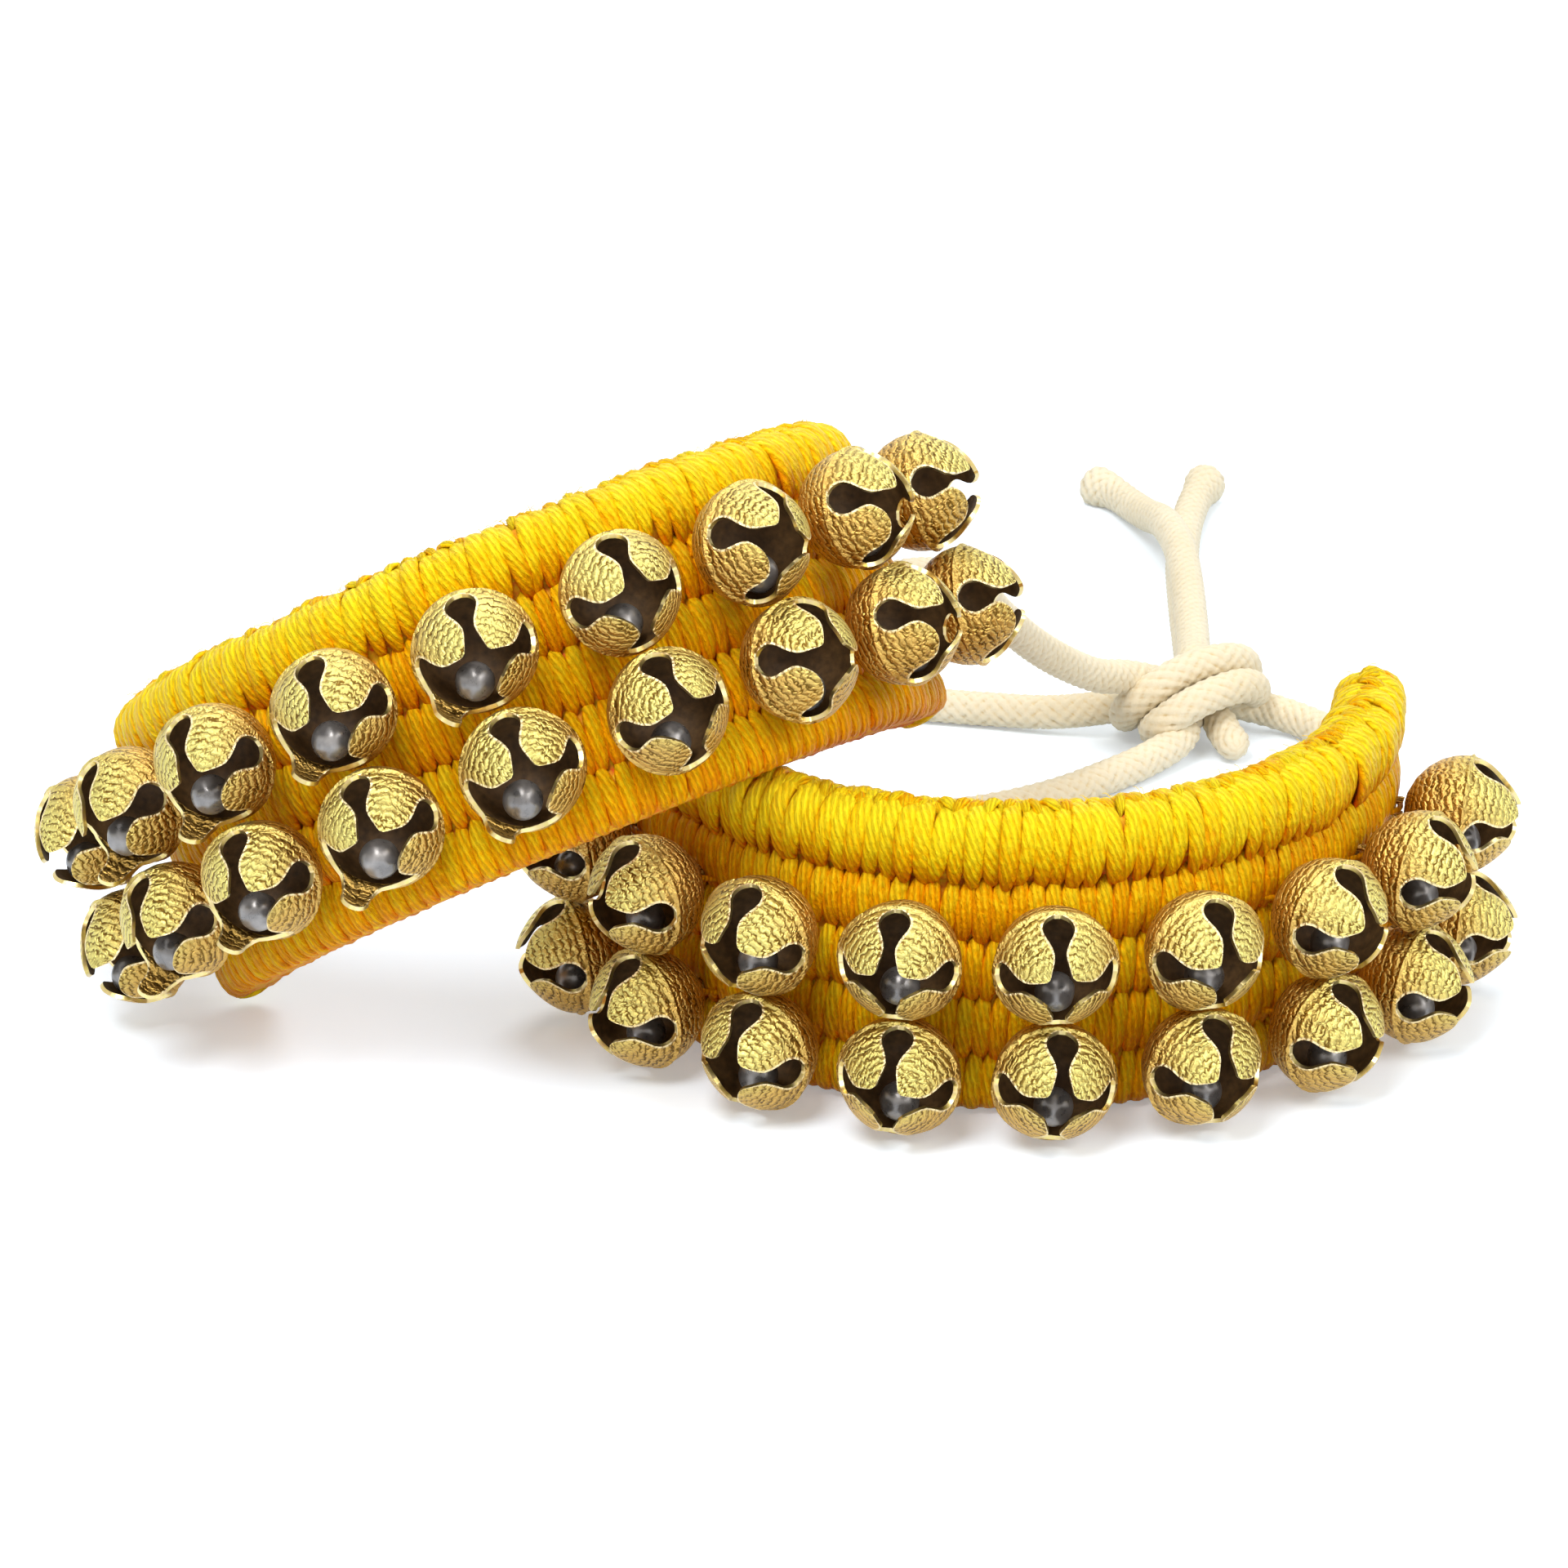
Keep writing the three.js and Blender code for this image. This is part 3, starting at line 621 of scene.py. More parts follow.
# Petals run clockwise from the upper right, seen from the front
TIP_LENGTH = 21
TIP_ROUNDNESS = 0.36
LEAST_TIP = 0.02
TIPS = np.array([18.5, 22, 22, 18.5])
TIP_SPREAD = 1.5
MOST_LIFT = 0.3 * MM
LIFT_POWER = 1.4
LOWER_PETALS = slice(1, 3)
LEANING_OPEN = 5

# The lower left petals that are bent open on some leaning bells
BENT_PETAL = 2
BENT_BELLS = range(1, 5)
LEAST_BEND = 36
MOST_BEND = 48
BEND_SHARE = 0.16
BENT_NARROWING = 0.42
NARROWING_SHARE = 0.1
BENT_TIP = 40

EYELET_WIRE = 0.6 * MM
EYELET_LOOP = 1.35 * MM
EYELET_SINK = 0.1 * MM
EYELET_SWEEP = 0.62 * math.pi
EYELET_POINTS = 15
EYELET_SIDES = 8
SHARP_ANGLE = 50
PETAL_SEED = 11
RIPPLE_STEP = 3.7
OUTSIDE, INSIDE, EDGE = range(3)

Petal = namedtuple("Petal", "middle lift tip bend")


def petal_shapes(bell, rng):
    """Middle, lift, tip angle and bend of each of a bell's petals."""
    middles = (np.arange(PETALS) + 0.5) * 2 * math.pi / PETALS
    lifts = rng.uniform(-MOST_LIFT, MOST_LIFT, PETALS)
    tips = TIPS + rng.uniform(-TIP_SPREAD, TIP_SPREAD, PETALS)
    bends = np.zeros(PETALS)
    if bell.anklet.name == "leaning":
        tips[LOWER_PETALS] += LEANING_OPEN
        if bell.index in BENT_BELLS:
            bends[BENT_PETAL] = rng.uniform(LEAST_BEND, MOST_BEND)
            tips[BENT_PETAL] = BENT_TIP
    return [Petal(*shape) for shape in zip(middles, lifts, tips, bends)]


def petal_half_angle(polar, radius, tip):
    """Half of the angle that a petal spans at a polar angle, between keyhole slots, with a round tip."""
    degrees = math.degrees(polar)
    head_angle, head = SLOT_HEAD
    half_slot = np.interp(degrees, *zip(*SLOT_SHAPE)) * MM
    if degrees > head_angle:
        reach = math.radians(degrees - head_angle) * radius / MM
        half_slot = math.sqrt(max(head * head - reach * reach, LEAST_HEAD)) * MM
    half = math.pi / PETALS - math.asin(min(half_slot / (radius * math.sin(polar)), WIDEST_SLOT))
    from_shoulder = (tip + TIP_LENGTH - degrees) / TIP_LENGTH
    if from_shoulder > 0:
        half *= max(1 - from_shoulder ** 2, LEAST_TIP) ** TIP_ROUNDNESS
    return half


def petal_hinge(radius, turn, angle):
    """Matrix that bends a petal outwards about the rim at its base."""
    height = math.cos(math.radians(RIM_ANGLE))
    base = Matrix.Translation(radius * Vector((math.sin(turn), math.cos(turn), height)))
    axis = Vector((-math.cos(turn), math.sin(turn), 0))
    return base @ Matrix.Rotation(math.radians(angle), 4, axis) @ base.inverted()


def bell_mesh(look, rng, petals):
    """Vertices, faces, their slots and nearness to a cut edge of one bell, its front pole on +Z."""
    phases = rng.uniform(0, 2 * math.pi, (DENTS, 2))
    waves = rng.uniform(0.5, 1.0, DENTS) * DENT_DEPTH
    vertices, faces, slots, nearness = [], [], [], []

    def point(inside, polar, turn, lift=0.0, near=0.0, hinge=None):
        """Add a point of the sheet, and give its number."""
        dent = sum(waves[k] * math.sin((k + 2) * turn + phases[k, 0]) * math.sin(3 * polar + phases[k, 1])
                   for k in range(DENTS))
        ridge = RIM_RIDGE * math.exp(-((math.degrees(polar) - RIDGE_ANGLE) / RIDGE_WIDTH) ** 2)
        flat = FLATTENING * look.radius * math.sin(2 * polar) ** 2 if polar < math.pi / 2 else 0
        radius = look.radius - flat + dent + lift + (-look.sheet if inside else ridge)
        ring = radius * math.sin(polar)
        place = Vector((ring * math.sin(turn), ring * math.cos(turn), radius * math.cos(polar)))
        vertices.append(hinge @ place if hinge else place)
        nearness.append(near)
        return len(vertices) - 1

    def quads(upper, lower, slot):
        """Add the faces between two rows of points."""
        for corners in zip(upper, upper[1:], lower[1:], lower):
            faces.append(corners)
            slots.append(slot)

    def petal_grid(inside, petal):
        """Add a petal, and give its rows of points from the tip to the rim."""
        grid = []
        for share in PETAL_SHARES:
            polar = math.radians(petal.tip + (RIM_ANGLE - petal.tip) * share)
            half = petal_half_angle(polar, look.radius, petal.tip)
            lift = petal.lift * (1 - share) ** LIFT_POWER
            hinge = None
            if petal.bend:
                half *= 1 - BENT_NARROWING * min((1 - share) / NARROWING_SHARE, 1)
                hinge = petal_hinge(look.radius, petal.middle, petal.bend * min((1 - share) / BEND_SHARE, 1))
            grid.append([
                point(inside, polar, petal.middle + u * half, lift, float(abs(u) == 1 or share == 0), hinge)
                for u in across])
        for upper, lower in zip(grid, grid[1:]):
            quads(upper, lower, INSIDE if inside and not petal.bend else OUTSIDE)
        return grid

    across = np.linspace(-1, 1, PETAL_COLUMNS)
    rim_polar = math.radians(RIM_ANGLE)
    base_half = petal_half_angle(rim_polar, look.radius, 0)
    gap = (math.pi / PETALS - base_half) * 2
    slot_steps = base_half + gap * np.arange(1, SLOT_COLUMNS + 1) / (SLOT_COLUMNS + 1)
    steps = np.concatenate([across * base_half, slot_steps])
    turns = np.concatenate([petal.middle + steps for petal in petals])
    borders = []
    for inside in (False, True):
        slot = INSIDE if inside else OUTSIDE
        ring, border = [], []
        for petal in petals:
            grid = petal_grid(inside, petal)
            head = [point(inside, rim_polar, turn, near=1.0) for turn in petal.middle + slot_steps]
            ring += grid[-1] + head
            border += [row[0] for row in reversed(grid)] + grid[0][1:-1] + [row[-1] for row in grid] + head
        for polar in CUP_ROWS:
            lower = [point(inside, polar, turn) for turn in turns]
            quads([*ring, ring[0]], [*lower, lower[0]], slot)
            ring = lower
        faces.append(tuple(ring))
        slots.append(slot)
        borders.append([*border, border[0]])
    quads(*borders, EDGE)
    return np.array(vertices), faces, slots, np.array(nearness)


def eyelet_mesh(look):
    """The eyelet at the bell's back: a bent wire loop that stands upright."""
    turn = np.linspace(-EYELET_SWEEP, EYELET_SWEEP, EYELET_POINTS)
    middle = -(look.radius + look.hinge_rise - EYELET_SINK)
    rise, reach = EYELET_LOOP * np.sin(turn), EYELET_LOOP * np.cos(turn)
    path = np.stack([np.zeros_like(turn), rise, middle - reach], axis=1)
    return tube(path, EYELET_WIRE, EYELET_SIDES, SIDEWAYS)


def make_bell(bell, look, materials, seed, petals):
    """One bell as its own object, with its eyelet, closed and facing out."""
    shell, shell_faces, slots, nearness = bell_mesh(look, np.random.default_rng(seed), petals)
    eyelet, eyelet_faces = eyelet_mesh(look)
    vertices, faces = joined([(shell @ bell.facing.T, shell_faces), (eyelet, eyelet_faces)])
    attributes = {
        "bell_place": np.vstack([shell, eyelet]) / MM,
        "bell_seed": np.full(len(vertices), seed * RIPPLE_STEP),
        "cut_edge": np.concatenate([nearness, np.zeros(len(eyelet))]),
    }
    slots = slots + [OUTSIDE] * len(eyelet_faces)
    made = mesh_object(bell.name + "_shell", vertices, faces, materials, attributes, slots)
    face_outwards(made.data)
    made.data.set_sharp_from_angle(angle=math.radians(SHARP_ANGLE))
    made.data.transform(bell.matrix)
    return made


class GHUNGROO_OT_bells(bpy.types.Operator):
    """Make the brass bells, each on its own hinge"""
    bl_idname = "ghungroo.bells"
    bl_label = "Bells"

    def execute(self, context):
        look = context.scene.ghungroo_bell
        materials = [brass_material(look), inside_material(look), edge_material(look)]
        rng = np.random.default_rng(PETAL_SEED)
        for seed, bell in enumerate(all_bells()):
            made = make_bell(bell, look, materials, seed, petal_shapes(bell, rng))
            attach(made, bell.name)
            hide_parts(bell.name)
        return {"FINISHED"}


# Pellets

PELLET_SEED = 100
PELLET_FLATS = 5
FLAT_START = 0.88
FLAT_DEPTH = 0.05
PELLET_ROOM = 0.95 * MM
PELLET_LEAN = 0.25


def pellet_mesh(name, radius, rng):
    """A ball with a few worn flats."""
    ball = bmesh.new()
    bmesh.ops.create_icosphere(ball, subdivisions=4, radius=radius)
    flats = unit(rng.normal(size=(PELLET_FLATS, 3)))
    for vertex in ball.verts:
        worn = max(float(flat @ np.array(vertex.co)) for flat in flats) / radius
        vertex.co *= 1 - FLAT_DEPTH * max(worn - FLAT_START, 0) / (1 - FLAT_START)
    mesh = bpy.data.meshes.new(name)
    ball.to_mesh(mesh)
    ball.free()
    mesh.shade_smooth()
    return mesh


class GHUNGROO_OT_pellets(bpy.types.Operator):
    """Make the steel pellets that lie in the bells"""
    bl_idname = "ghungroo.pellets"
    bl_label = "Pellets"

    def execute(self, context):
        look = context.scene.ghungroo_bell
        material = steel_material(look)
        drop = look.radius - look.sheet - look.pellet - PELLET_ROOM
        for seed, bell in enumerate(all_bells()):
            mesh = pellet_mesh(bell.pellet + "_ball", look.pellet, np.random.default_rng(PELLET_SEED + seed))
            mesh.materials.append(material)
            made = bpy.data.objects.new(mesh.name, mesh)
            context.scene.collection.objects.link(made)
            if bell.pellet in frame["nodes"]:
                low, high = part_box(bell.pellet)
                mesh.transform(Matrix.Translation((low + high) / 2))
                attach(made, bell.pellet)
                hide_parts(bell.pellet)
            else:
                down = (Vector((0, 0, -1)) + PELLET_LEAN * bell.front).normalized()
                mesh.transform(Matrix.Translation(bell.centre + drop * down))
                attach(made, bell.name)
        return {"FINISHED"}


# Stitches

FOOT_HALF = 2.2 * MM
STITCH_SIDES = 10
STITCH_REACH = 6.1
STITCH_POINTS = 11
CREST_ROUNDNESS = 0.8
STITCH_SIZE = (3.0, 0.8)
TOP_STITCH_SIZE = (3.35, 0.85)
STITCH_SWELL = (3.4, 0.012, 0.62)
END_DEPTH = 0.35
ROW_POINTS = 60
ROW_SHIFT = 0.25
SLANT = 0.1
# Painted shade: the plain rows between the bells get a low tint, warmer orange with darker creases; painted
# light: the top row gets a high tint, yellower with lighter creases
SHADED_ROWS_TINT = 0.22
LIT_TOP_TINT = 0.6
TOP_JITTER = 2.2
TINT_SPREAD = 0.26
LEAN_SPREAD = 0.07
TIP_OVER_SPREAD = 0.03
MEAN_WIDTH = 1.01
WIDTH_SPREAD = 0.08
DEPTH_SPREAD = 0.045
HEIGHT_SPREAD = 0.03

# Turn, width, seed and shift of the top row on the band's outer and inner face
BAND_FACES = ((0.0, 1.06, 1, 0.25), (math.pi, 0.93, 7, -0.25))


def half_thickness(look, z):
    """Half thickness of the band at a height above its foot, in metres."""
    z = z / MM
    last = len(ROW_SEAMS) - 2
    row = min(int(np.searchsorted(ROW_SEAMS, z, side="right")) - 1, last)
    low, high = ROW_SEAMS[row], ROW_SEAMS[row + 1]
    crest = look.top_crest if row == last else look.crest
    share = min(abs((z - low) / (high - low) - 0.5) * 2, 1)
    if row == 0 and z < (low + high) / 2:
        return FOOT_HALF + (crest - FOOT_HALF) * math.sqrt(1 - share * share)
    if row == last and z > (low + high) / 2:
        return crest * math.sqrt(1 - share * share)
    return look.seam + (crest - look.seam) * math.cos(share * math.pi / 2)


def swelling(shares, power, least, point):
    """Size of a bundle of yarn at shares of its length, which run from -1 to 1."""
    return np.maximum(1 - np.abs(shares) ** power, least) ** point


def stitch_object(name, profile, width, bulge):
    """One bundle of yarn that follows a profile of (outside, height) points, pointed at both ends."""
    profile = np.array(profile, float) * MM
    path = np.stack([np.zeros(len(profile)), -profile[:, 0], profile[:, 1]], axis=1)
    outwards = np.cross(SIDEWAYS, unit(np.gradient(path, axis=0)))
    along = distances(path)
    shares = along / along[-1] * 2 - 1
    swell = swelling(shares, *STITCH_SWELL)
    turn = full_turn(STITCH_SIDES)
    rings, places = [], []
    for centre, outward, size, share in zip(path, outwards, swell, shares):
        deep = END_DEPTH + (1 - END_DEPTH) * size
        side = np.cos(turn) * width / 2 * MM * size
        lift = np.sin(turn) * bulge * MM * deep
        rings.append(centre + side[:, None] * SIDEWAYS + lift[:, None] * outward)
        # Height above the crease, which the yarn's material turns into painted crease shade
        height = (np.sin(turn) * 0.5 + 0.5) * deep
        lengthways = np.full(STITCH_SIDES, share * along[-1] / MM / 2)
        places.append(np.stack([np.cos(turn) * size, lengthways, height], axis=1))
    made = mesh_object(name, *loft(np.array(rings)), [], {"strand": np.vstack(places)})
    face_outwards(made.data)
    return made


def stitch_shapes(look):
    """The stitches of the plain rows, the foot row and the top row, from profiles in millimetres."""
    crest, top, seam = (value / MM for value in (look.crest, look.top_crest, look.seam))
    heights = np.linspace(-STITCH_REACH, STITCH_REACH, STITCH_POINTS)
    rises = [max(math.cos(h / STITCH_REACH * math.pi / 2), 0) ** CREST_ROUNDNESS for h in heights]
    plain = [(seam - 0.5 + (crest - seam) * rise, h) for rise, h in zip(rises, heights)]
    foot = [(0.2, -3.9), (1.4, -4.1), (2.6, -4.1), (3.5, -3.8), (4.15, -3.1), (4.6, -1.8), (crest - 0.5, 0),
            (4.6, 2.0), (4.0, 3.6), (3.4, 5), (seam - 0.4, 6.1)]
    over = [(seam - 0.3, -7.2), (4.0, -6.0), (4.9, -4.0), (top - 0.6, -1.5), (top - 0.6, 0.8),
            (top - 1.0, 2.8), (4.1, 4.3), (2.8, 5.2), (1.3, 5.6), (-0.3, 5.5), (-1.6, 4.9), (-2.6, 4.0)]
    return (stitch_object("plain_stitch", plain, *STITCH_SIZE),
            stitch_object("foot_stitch", foot, *STITCH_SIZE),
            stitch_object("top_stitch", over, *TOP_STITCH_SIZE))


def stitch_tree():
    """Node tree that lays copies of a stitch along each curve, a little uneven, as one mesh."""
    tree = bpy.data.node_groups.new("stitches_along_rows", "GeometryNodeTree")
    kinds = {"Geometry": "Geometry", "Stitch": "Object", "Count": "Int", "Turn": "Float", "Slant": "Float",
             "Width": "Float", "Jitter": "Float", "Tint": "Float", "Seed": "Int", "Material": "Material"}
    sockets = {}
    for label, kind in kinds.items():
        made = tree.interface.new_socket(label, in_out="INPUT", socket_type="NodeSocket" + kind)
        sockets[label] = made.identifier
    tree.interface.new_socket("Geometry", in_out="OUTPUT", socket_type="NodeSocketGeometry")
    given = tree.nodes.new("NodeGroupInput").outputs
    result = tree.nodes.new("NodeGroupOutput").inputs

    def random(low, high, offset):
        """A number for each stitch, drawn apart for each offset."""
        seed = math_node(tree, "ADD", given["Seed"], float(offset))
        inputs = {2: low, 3: high, "Seed": seed}
        return add(tree, "FunctionNodeRandomValue", inputs, data_type="FLOAT").outputs[1]

    def jitter(middle, spread, offset):
        """A middle value, spread as far as the jitter lets it."""
        swing = math_node(tree, "MULTIPLY", random(-spread, spread, offset), given["Jitter"])
        return math_node(tree, "ADD", swing, middle)

    row = add(tree, "GeometryNodeResampleCurve",
              {"Curve": given["Geometry"], "Count": given["Count"]}, mode="COUNT")
    tangent = tree.nodes.new("GeometryNodeInputTangent").outputs[0]
    east, north, _ = add(tree, "ShaderNodeSeparateXYZ", {0: tangent}).outputs
    heading = math_node(tree, "ADD", math_node(tree, "ARCTAN2", north, east), given["Turn"])
    lean = jitter(given["Slant"], LEAN_SPREAD, 1)
    tip = jitter(0.0, TIP_OVER_SPREAD, 2)
    turned = add(tree, "ShaderNodeCombineXYZ", {0: tip, 1: lean, 2: heading}).outputs[0]
    wide = math_node(tree, "MULTIPLY", given["Width"], jitter(MEAN_WIDTH, WIDTH_SPREAD, 3))
    deep, tall = jitter(1.0, DEPTH_SPREAD, 4), jitter(1.0, HEIGHT_SPREAD, 5)
    size = add(tree, "ShaderNodeCombineXYZ", {0: wide, 1: deep, 2: tall}).outputs[0]
    stitch = add(tree, "GeometryNodeObjectInfo", {"Object": given["Stitch"]}).outputs["Geometry"]
    laid = add(tree, "GeometryNodeInstanceOnPoints",
               {"Points": row.outputs[0], "Instance": stitch, "Rotation": turned, "Scale": size})
    tint = math_node(tree, "ADD", given["Tint"], random(0.0, TINT_SPREAD, 6))
    tinted = add(tree, "GeometryNodeStoreNamedAttribute",
                 {"Geometry": laid.outputs[0], "Name": "tint", "Value": tint},
                 data_type="FLOAT", domain="INSTANCE")
    real = add(tree, "GeometryNodeRealizeInstances", {"Geometry": tinted.outputs[0]})
    coloured = add(tree, "GeometryNodeSetMaterial",
                   {"Geometry": real.outputs[0], "Material": given["Material"]})
    tree.links.new(coloured.outputs[0], result["Geometry"])
    return tree, sockets


def row_curves(anklet, rows, look):
    """Arcs along the band's middle, one at each row's height, each shifted by a share of a stitch."""
    curve = bpy.data.curves.new("rows", "CURVE")
    curve.dimensions = "3D"
    pitch = 2 * anklet.half_arc / look.stitches
    for shift, height in rows:
        first = -anklet.half_arc + (0.5 + shift) * pitch
        last = anklet.half_arc - (0.5 - shift) * pitch
        spline = curve.splines.new("POLY")
        spline.points.add(ROW_POINTS - 1)
        for control, angle in zip(spline.points, np.linspace(first, last, ROW_POINTS)):
            control.co = (anklet.bend * math.sin(angle), -anklet.bend * math.cos(angle), height * MM, 1)
    made = bpy.data.objects.new("rows", curve)
    bpy.context.scene.collection.objects.link(made)
    return made


def laid_stitches(anklet, look, group, rows, values):
    """The plain mesh of one set of stitches, in the anklet's place."""
    tree, sockets = group
    laid = row_curves(anklet, rows, look)
    modifier = laid.modifiers.new("stitches", "NODES")
    modifier.node_group = tree
    for label, value in {"Count": look.stitches, **values}.items():
        modifier[sockets[label]] = value
    depsgraph = bpy.context.evaluated_depsgraph_get()
    mesh = bpy.data.meshes.new_from_object(laid.evaluated_get(depsgraph), depsgraph=depsgraph)
    bpy.data.objects.remove(laid)
    mesh.transform(anklet.matrix)
    return mesh


def all_rows(anklet, look, group, stitches, yarn):
    """Meshes of the stitches of every row, on both faces of a band."""
    plain, foot, over = stitches
    middles = [(low + high) / 2 for low, high in zip(ROW_SEAMS, ROW_SEAMS[1:])]
    plain_rows = [(ROW_SHIFT * (-1) ** row, middles[row]) for row in (1, 2, 3)]
    meshes = []
    for turn, width, seed, top_shift in BAND_FACES:
        values = {"Turn": turn, "Slant": SLANT, "Width": width, "Jitter": 1.0, "Tint": SHADED_ROWS_TINT,
                  "Seed": seed, "Material": yarn}
        loose = {**values, "Jitter": TOP_JITTER, "Tint": LIT_TOP_TINT}
        meshes += [
            laid_stitches(anklet, look, group, plain_rows, {**values, "Stitch": plain}),
            laid_stitches(anklet, look, group, [(ROW_SHIFT, middles[0])], {**values, "Stitch": foot}),
            laid_stitches(anklet, look, group, [(top_shift, middles[4])], {**loose, "Stitch": over}),
        ]
    return meshes


# Wraps, tufts and fibres, with angles in radians, and in millimetres the lengths that aren't times MM

WRAP_SEED = 5
WRAPS_PER_ROW = 3
WRAP_RINGS = 13
WRAP_SIDES = 10
WRAP_RADII = (1.95 * MM, 0.95 * MM)
WRAP_SWELL = (3, 0.05, 0.6)
WRAP_INSET_ANGLE = 0.05
WRAP_REACH_ANGLE = 0.055
WRAP_DEPTH = 0.86
WRAP_SLANT = 1.6
WRAP_LEAST_HEIGHT = 1.6
WRAP_TOP_INSET = 1.5
# Height above the crease given to wraps and tufts, which sets their painted crease shade
YARN_LIFT = 0.75
TUFT_SEED = 9
TUFT_RINGS = 7
TUFT_SIDES = 6
TUFTS_PER_STITCH = 2
TUFT_INSET_ANGLE = 0.03
TUFT_RADIUS = 0.6 * MM
TUFT_SWELL = (2.6, 0.04, 0.6)
TUFT_CURVE = 0.24
TUFT_HALVES = (2.0, 3.4)
TUFT_DRIFTS = (-1.6, 1.6)
TUFT_LEANS = (-0.9, 0.9)
TUFT_RISES = (-0.9, 1.0)
TUFT_WIDTHS = (0.75, 1.25)
TUFT_TINTS = (0.4, 1.0)
FIBRE_SEED = 13
FIBRE_RINGS = 5
FIBRES_PER_STITCH = 6
FIBRE_INSET_ANGLE = 0.02
FIBRE_RADIUS = 0.06 * MM
FIBRE_SIDES = 3
FIBRE_TINT = 0.8
FIBRE_ROOTS = (-3.6, 3.6)
FIBRE_REACHES = (0.9, 2.2)
FIBRE_SWAYS = (-2.2, 2.2)
FIBRE_SINK = 0.5
FIBRE_CURVE = 0.2
FIBRE_BOW = 1.9


def strand_places(across, along, lift):
    """Place on the yarn of each point of a bundle: across it, along it and above its crease."""
    shape = (len(along), len(across))
    parts = [np.broadcast_to(part, shape) for part in (across, along[:, None], lift)]
    return np.stack(parts, axis=-1).reshape(-1, 3)


def yarn_shape(parts, places, tints):
    """Vertices, faces and attributes of bundles of yarn, each with one tint."""
    vertices, faces = joined(parts)
    tint = np.concatenate([np.full(len(place), value) for place, value in zip(places, tints)])
    return vertices, faces, {"strand": np.vstack(places), "tint": tint}


def end_wraps(anklet, look, rng):
    """Bundles of yarn wound slantwise round both ends of the band."""
    parts, places, tints = [], [], []
    steps = np.linspace(-1, 1, WRAP_RINGS)
    turn = steps / 2 * math.pi
    around = full_turn(WRAP_SIDES)
    size = swelling(steps, *WRAP_SWELL)[:, None, None]
    limits = (WRAP_LEAST_HEIGHT, ROW_SEAMS[-1] - WRAP_TOP_INSET)
    for end in (-1, 1):
        for low, high in zip(ROW_SEAMS, ROW_SEAMS[1:]):
            for step in range(WRAPS_PER_ROW):
                middle = low + (high - low) * (step + 0.5) / WRAPS_PER_ROW
                half = half_thickness(look, middle * MM) * WRAP_DEPTH
                angle = end * (anklet.half_arc - WRAP_INSET_ANGLE + WRAP_REACH_ANGLE * np.cos(turn))
                height = np.clip(middle + end * WRAP_SLANT * steps, *limits)
                path = anklet.points(angle, half * np.sin(turn), height * MM)
                rings = oval_rings(path, around, *WRAP_RADII, anklet.rotation[:, 2])
                parts.append(loft(path[:, None] + rings * size))
                places.append(strand_places(np.cos(around), 4 * steps, YARN_LIFT))
                tints.append(rng.uniform())
    return yarn_shape(parts, places, tints)


def top_tufts(anklet, look, rng):
    """Short loose loops of yarn that lie every way along the band's top edge."""
    parts, places, tints = [], [], []
    steps = np.linspace(-1, 1, TUFT_RINGS)
    around = full_turn(TUFT_SIDES)
    size = swelling(steps, *TUFT_SWELL)[:, None, None]
    half_arc = anklet.half_arc - TUFT_INSET_ANGLE
    for place in np.linspace(-1, 1, TUFTS_PER_STITCH * look.stitches) * half_arc:
        half, drift, lean, rise = (
            rng.uniform(*span) for span in (TUFT_HALVES, TUFT_DRIFTS, TUFT_LEANS, TUFT_RISES))
        top = ROW_SEAMS[-1] + rise
        outside = lean + half * steps
        angle = place + drift * steps * MM / anklet.bend
        path = anklet.points(angle, outside * MM, (top - TUFT_CURVE * outside ** 2) * MM)
        wide = rng.uniform(*TUFT_WIDTHS) * MM
        rings = oval_rings(path, around, TUFT_RADIUS, wide, anklet.rotation[:, 2])
        parts.append(loft(path[:, None] + rings * size))
        lift = YARN_LIFT + (1 - YARN_LIFT) * np.cos(around)
        places.append(strand_places(np.sin(around), half * steps, lift))
        tints.append(rng.uniform(*TUFT_TINTS))
    return yarn_shape(parts, places, tints)


def top_fibres(anklet, look, rng):
    """Fine stray fibres that stand off the band's top edge."""
    parts, places = [], []
    steps = np.linspace(0, 1, FIBRE_RINGS)
    half_arc = anklet.half_arc - FIBRE_INSET_ANGLE
    for place in np.linspace(-1, 1, FIBRES_PER_STITCH * look.stitches) * half_arc:
        root, reach = rng.uniform(*FIBRE_ROOTS), rng.uniform(*FIBRE_REACHES)
        sway, drift = rng.uniform(*FIBRE_SWAYS, 2)
        foot = ROW_SEAMS[-1] - FIBRE_SINK - FIBRE_CURVE * root ** 2
        path = anklet.points(place + drift * steps * MM / anklet.bend, (root + sway * steps ** 2) * MM,
                             (foot + reach * np.sin(FIBRE_BOW * steps)) * MM)
        parts.append(tube(path, FIBRE_RADIUS, FIBRE_SIDES))
        places.append(np.tile([0.0, 0.0, 1.0], (len(parts[-1][0]), 1)))
    return yarn_shape(parts, places, [FIBRE_TINT] * len(parts))


# Bands

CORE_INSET = 0.75 * MM
CORE_LEAST = 0.8 * MM
CORE_FOOT = 0.5
CORE_TOP_INSET = 0.9
CORE_SHARES = (0.12, 0.3, 0.5, 0.7, 0.88, 1.0)
CORE_STATIONS = 61
CORE_END_ANGLE = 0.012
CORE_ROUNDING_ANGLE = 0.06
CORE_END_SIZE = 0.55


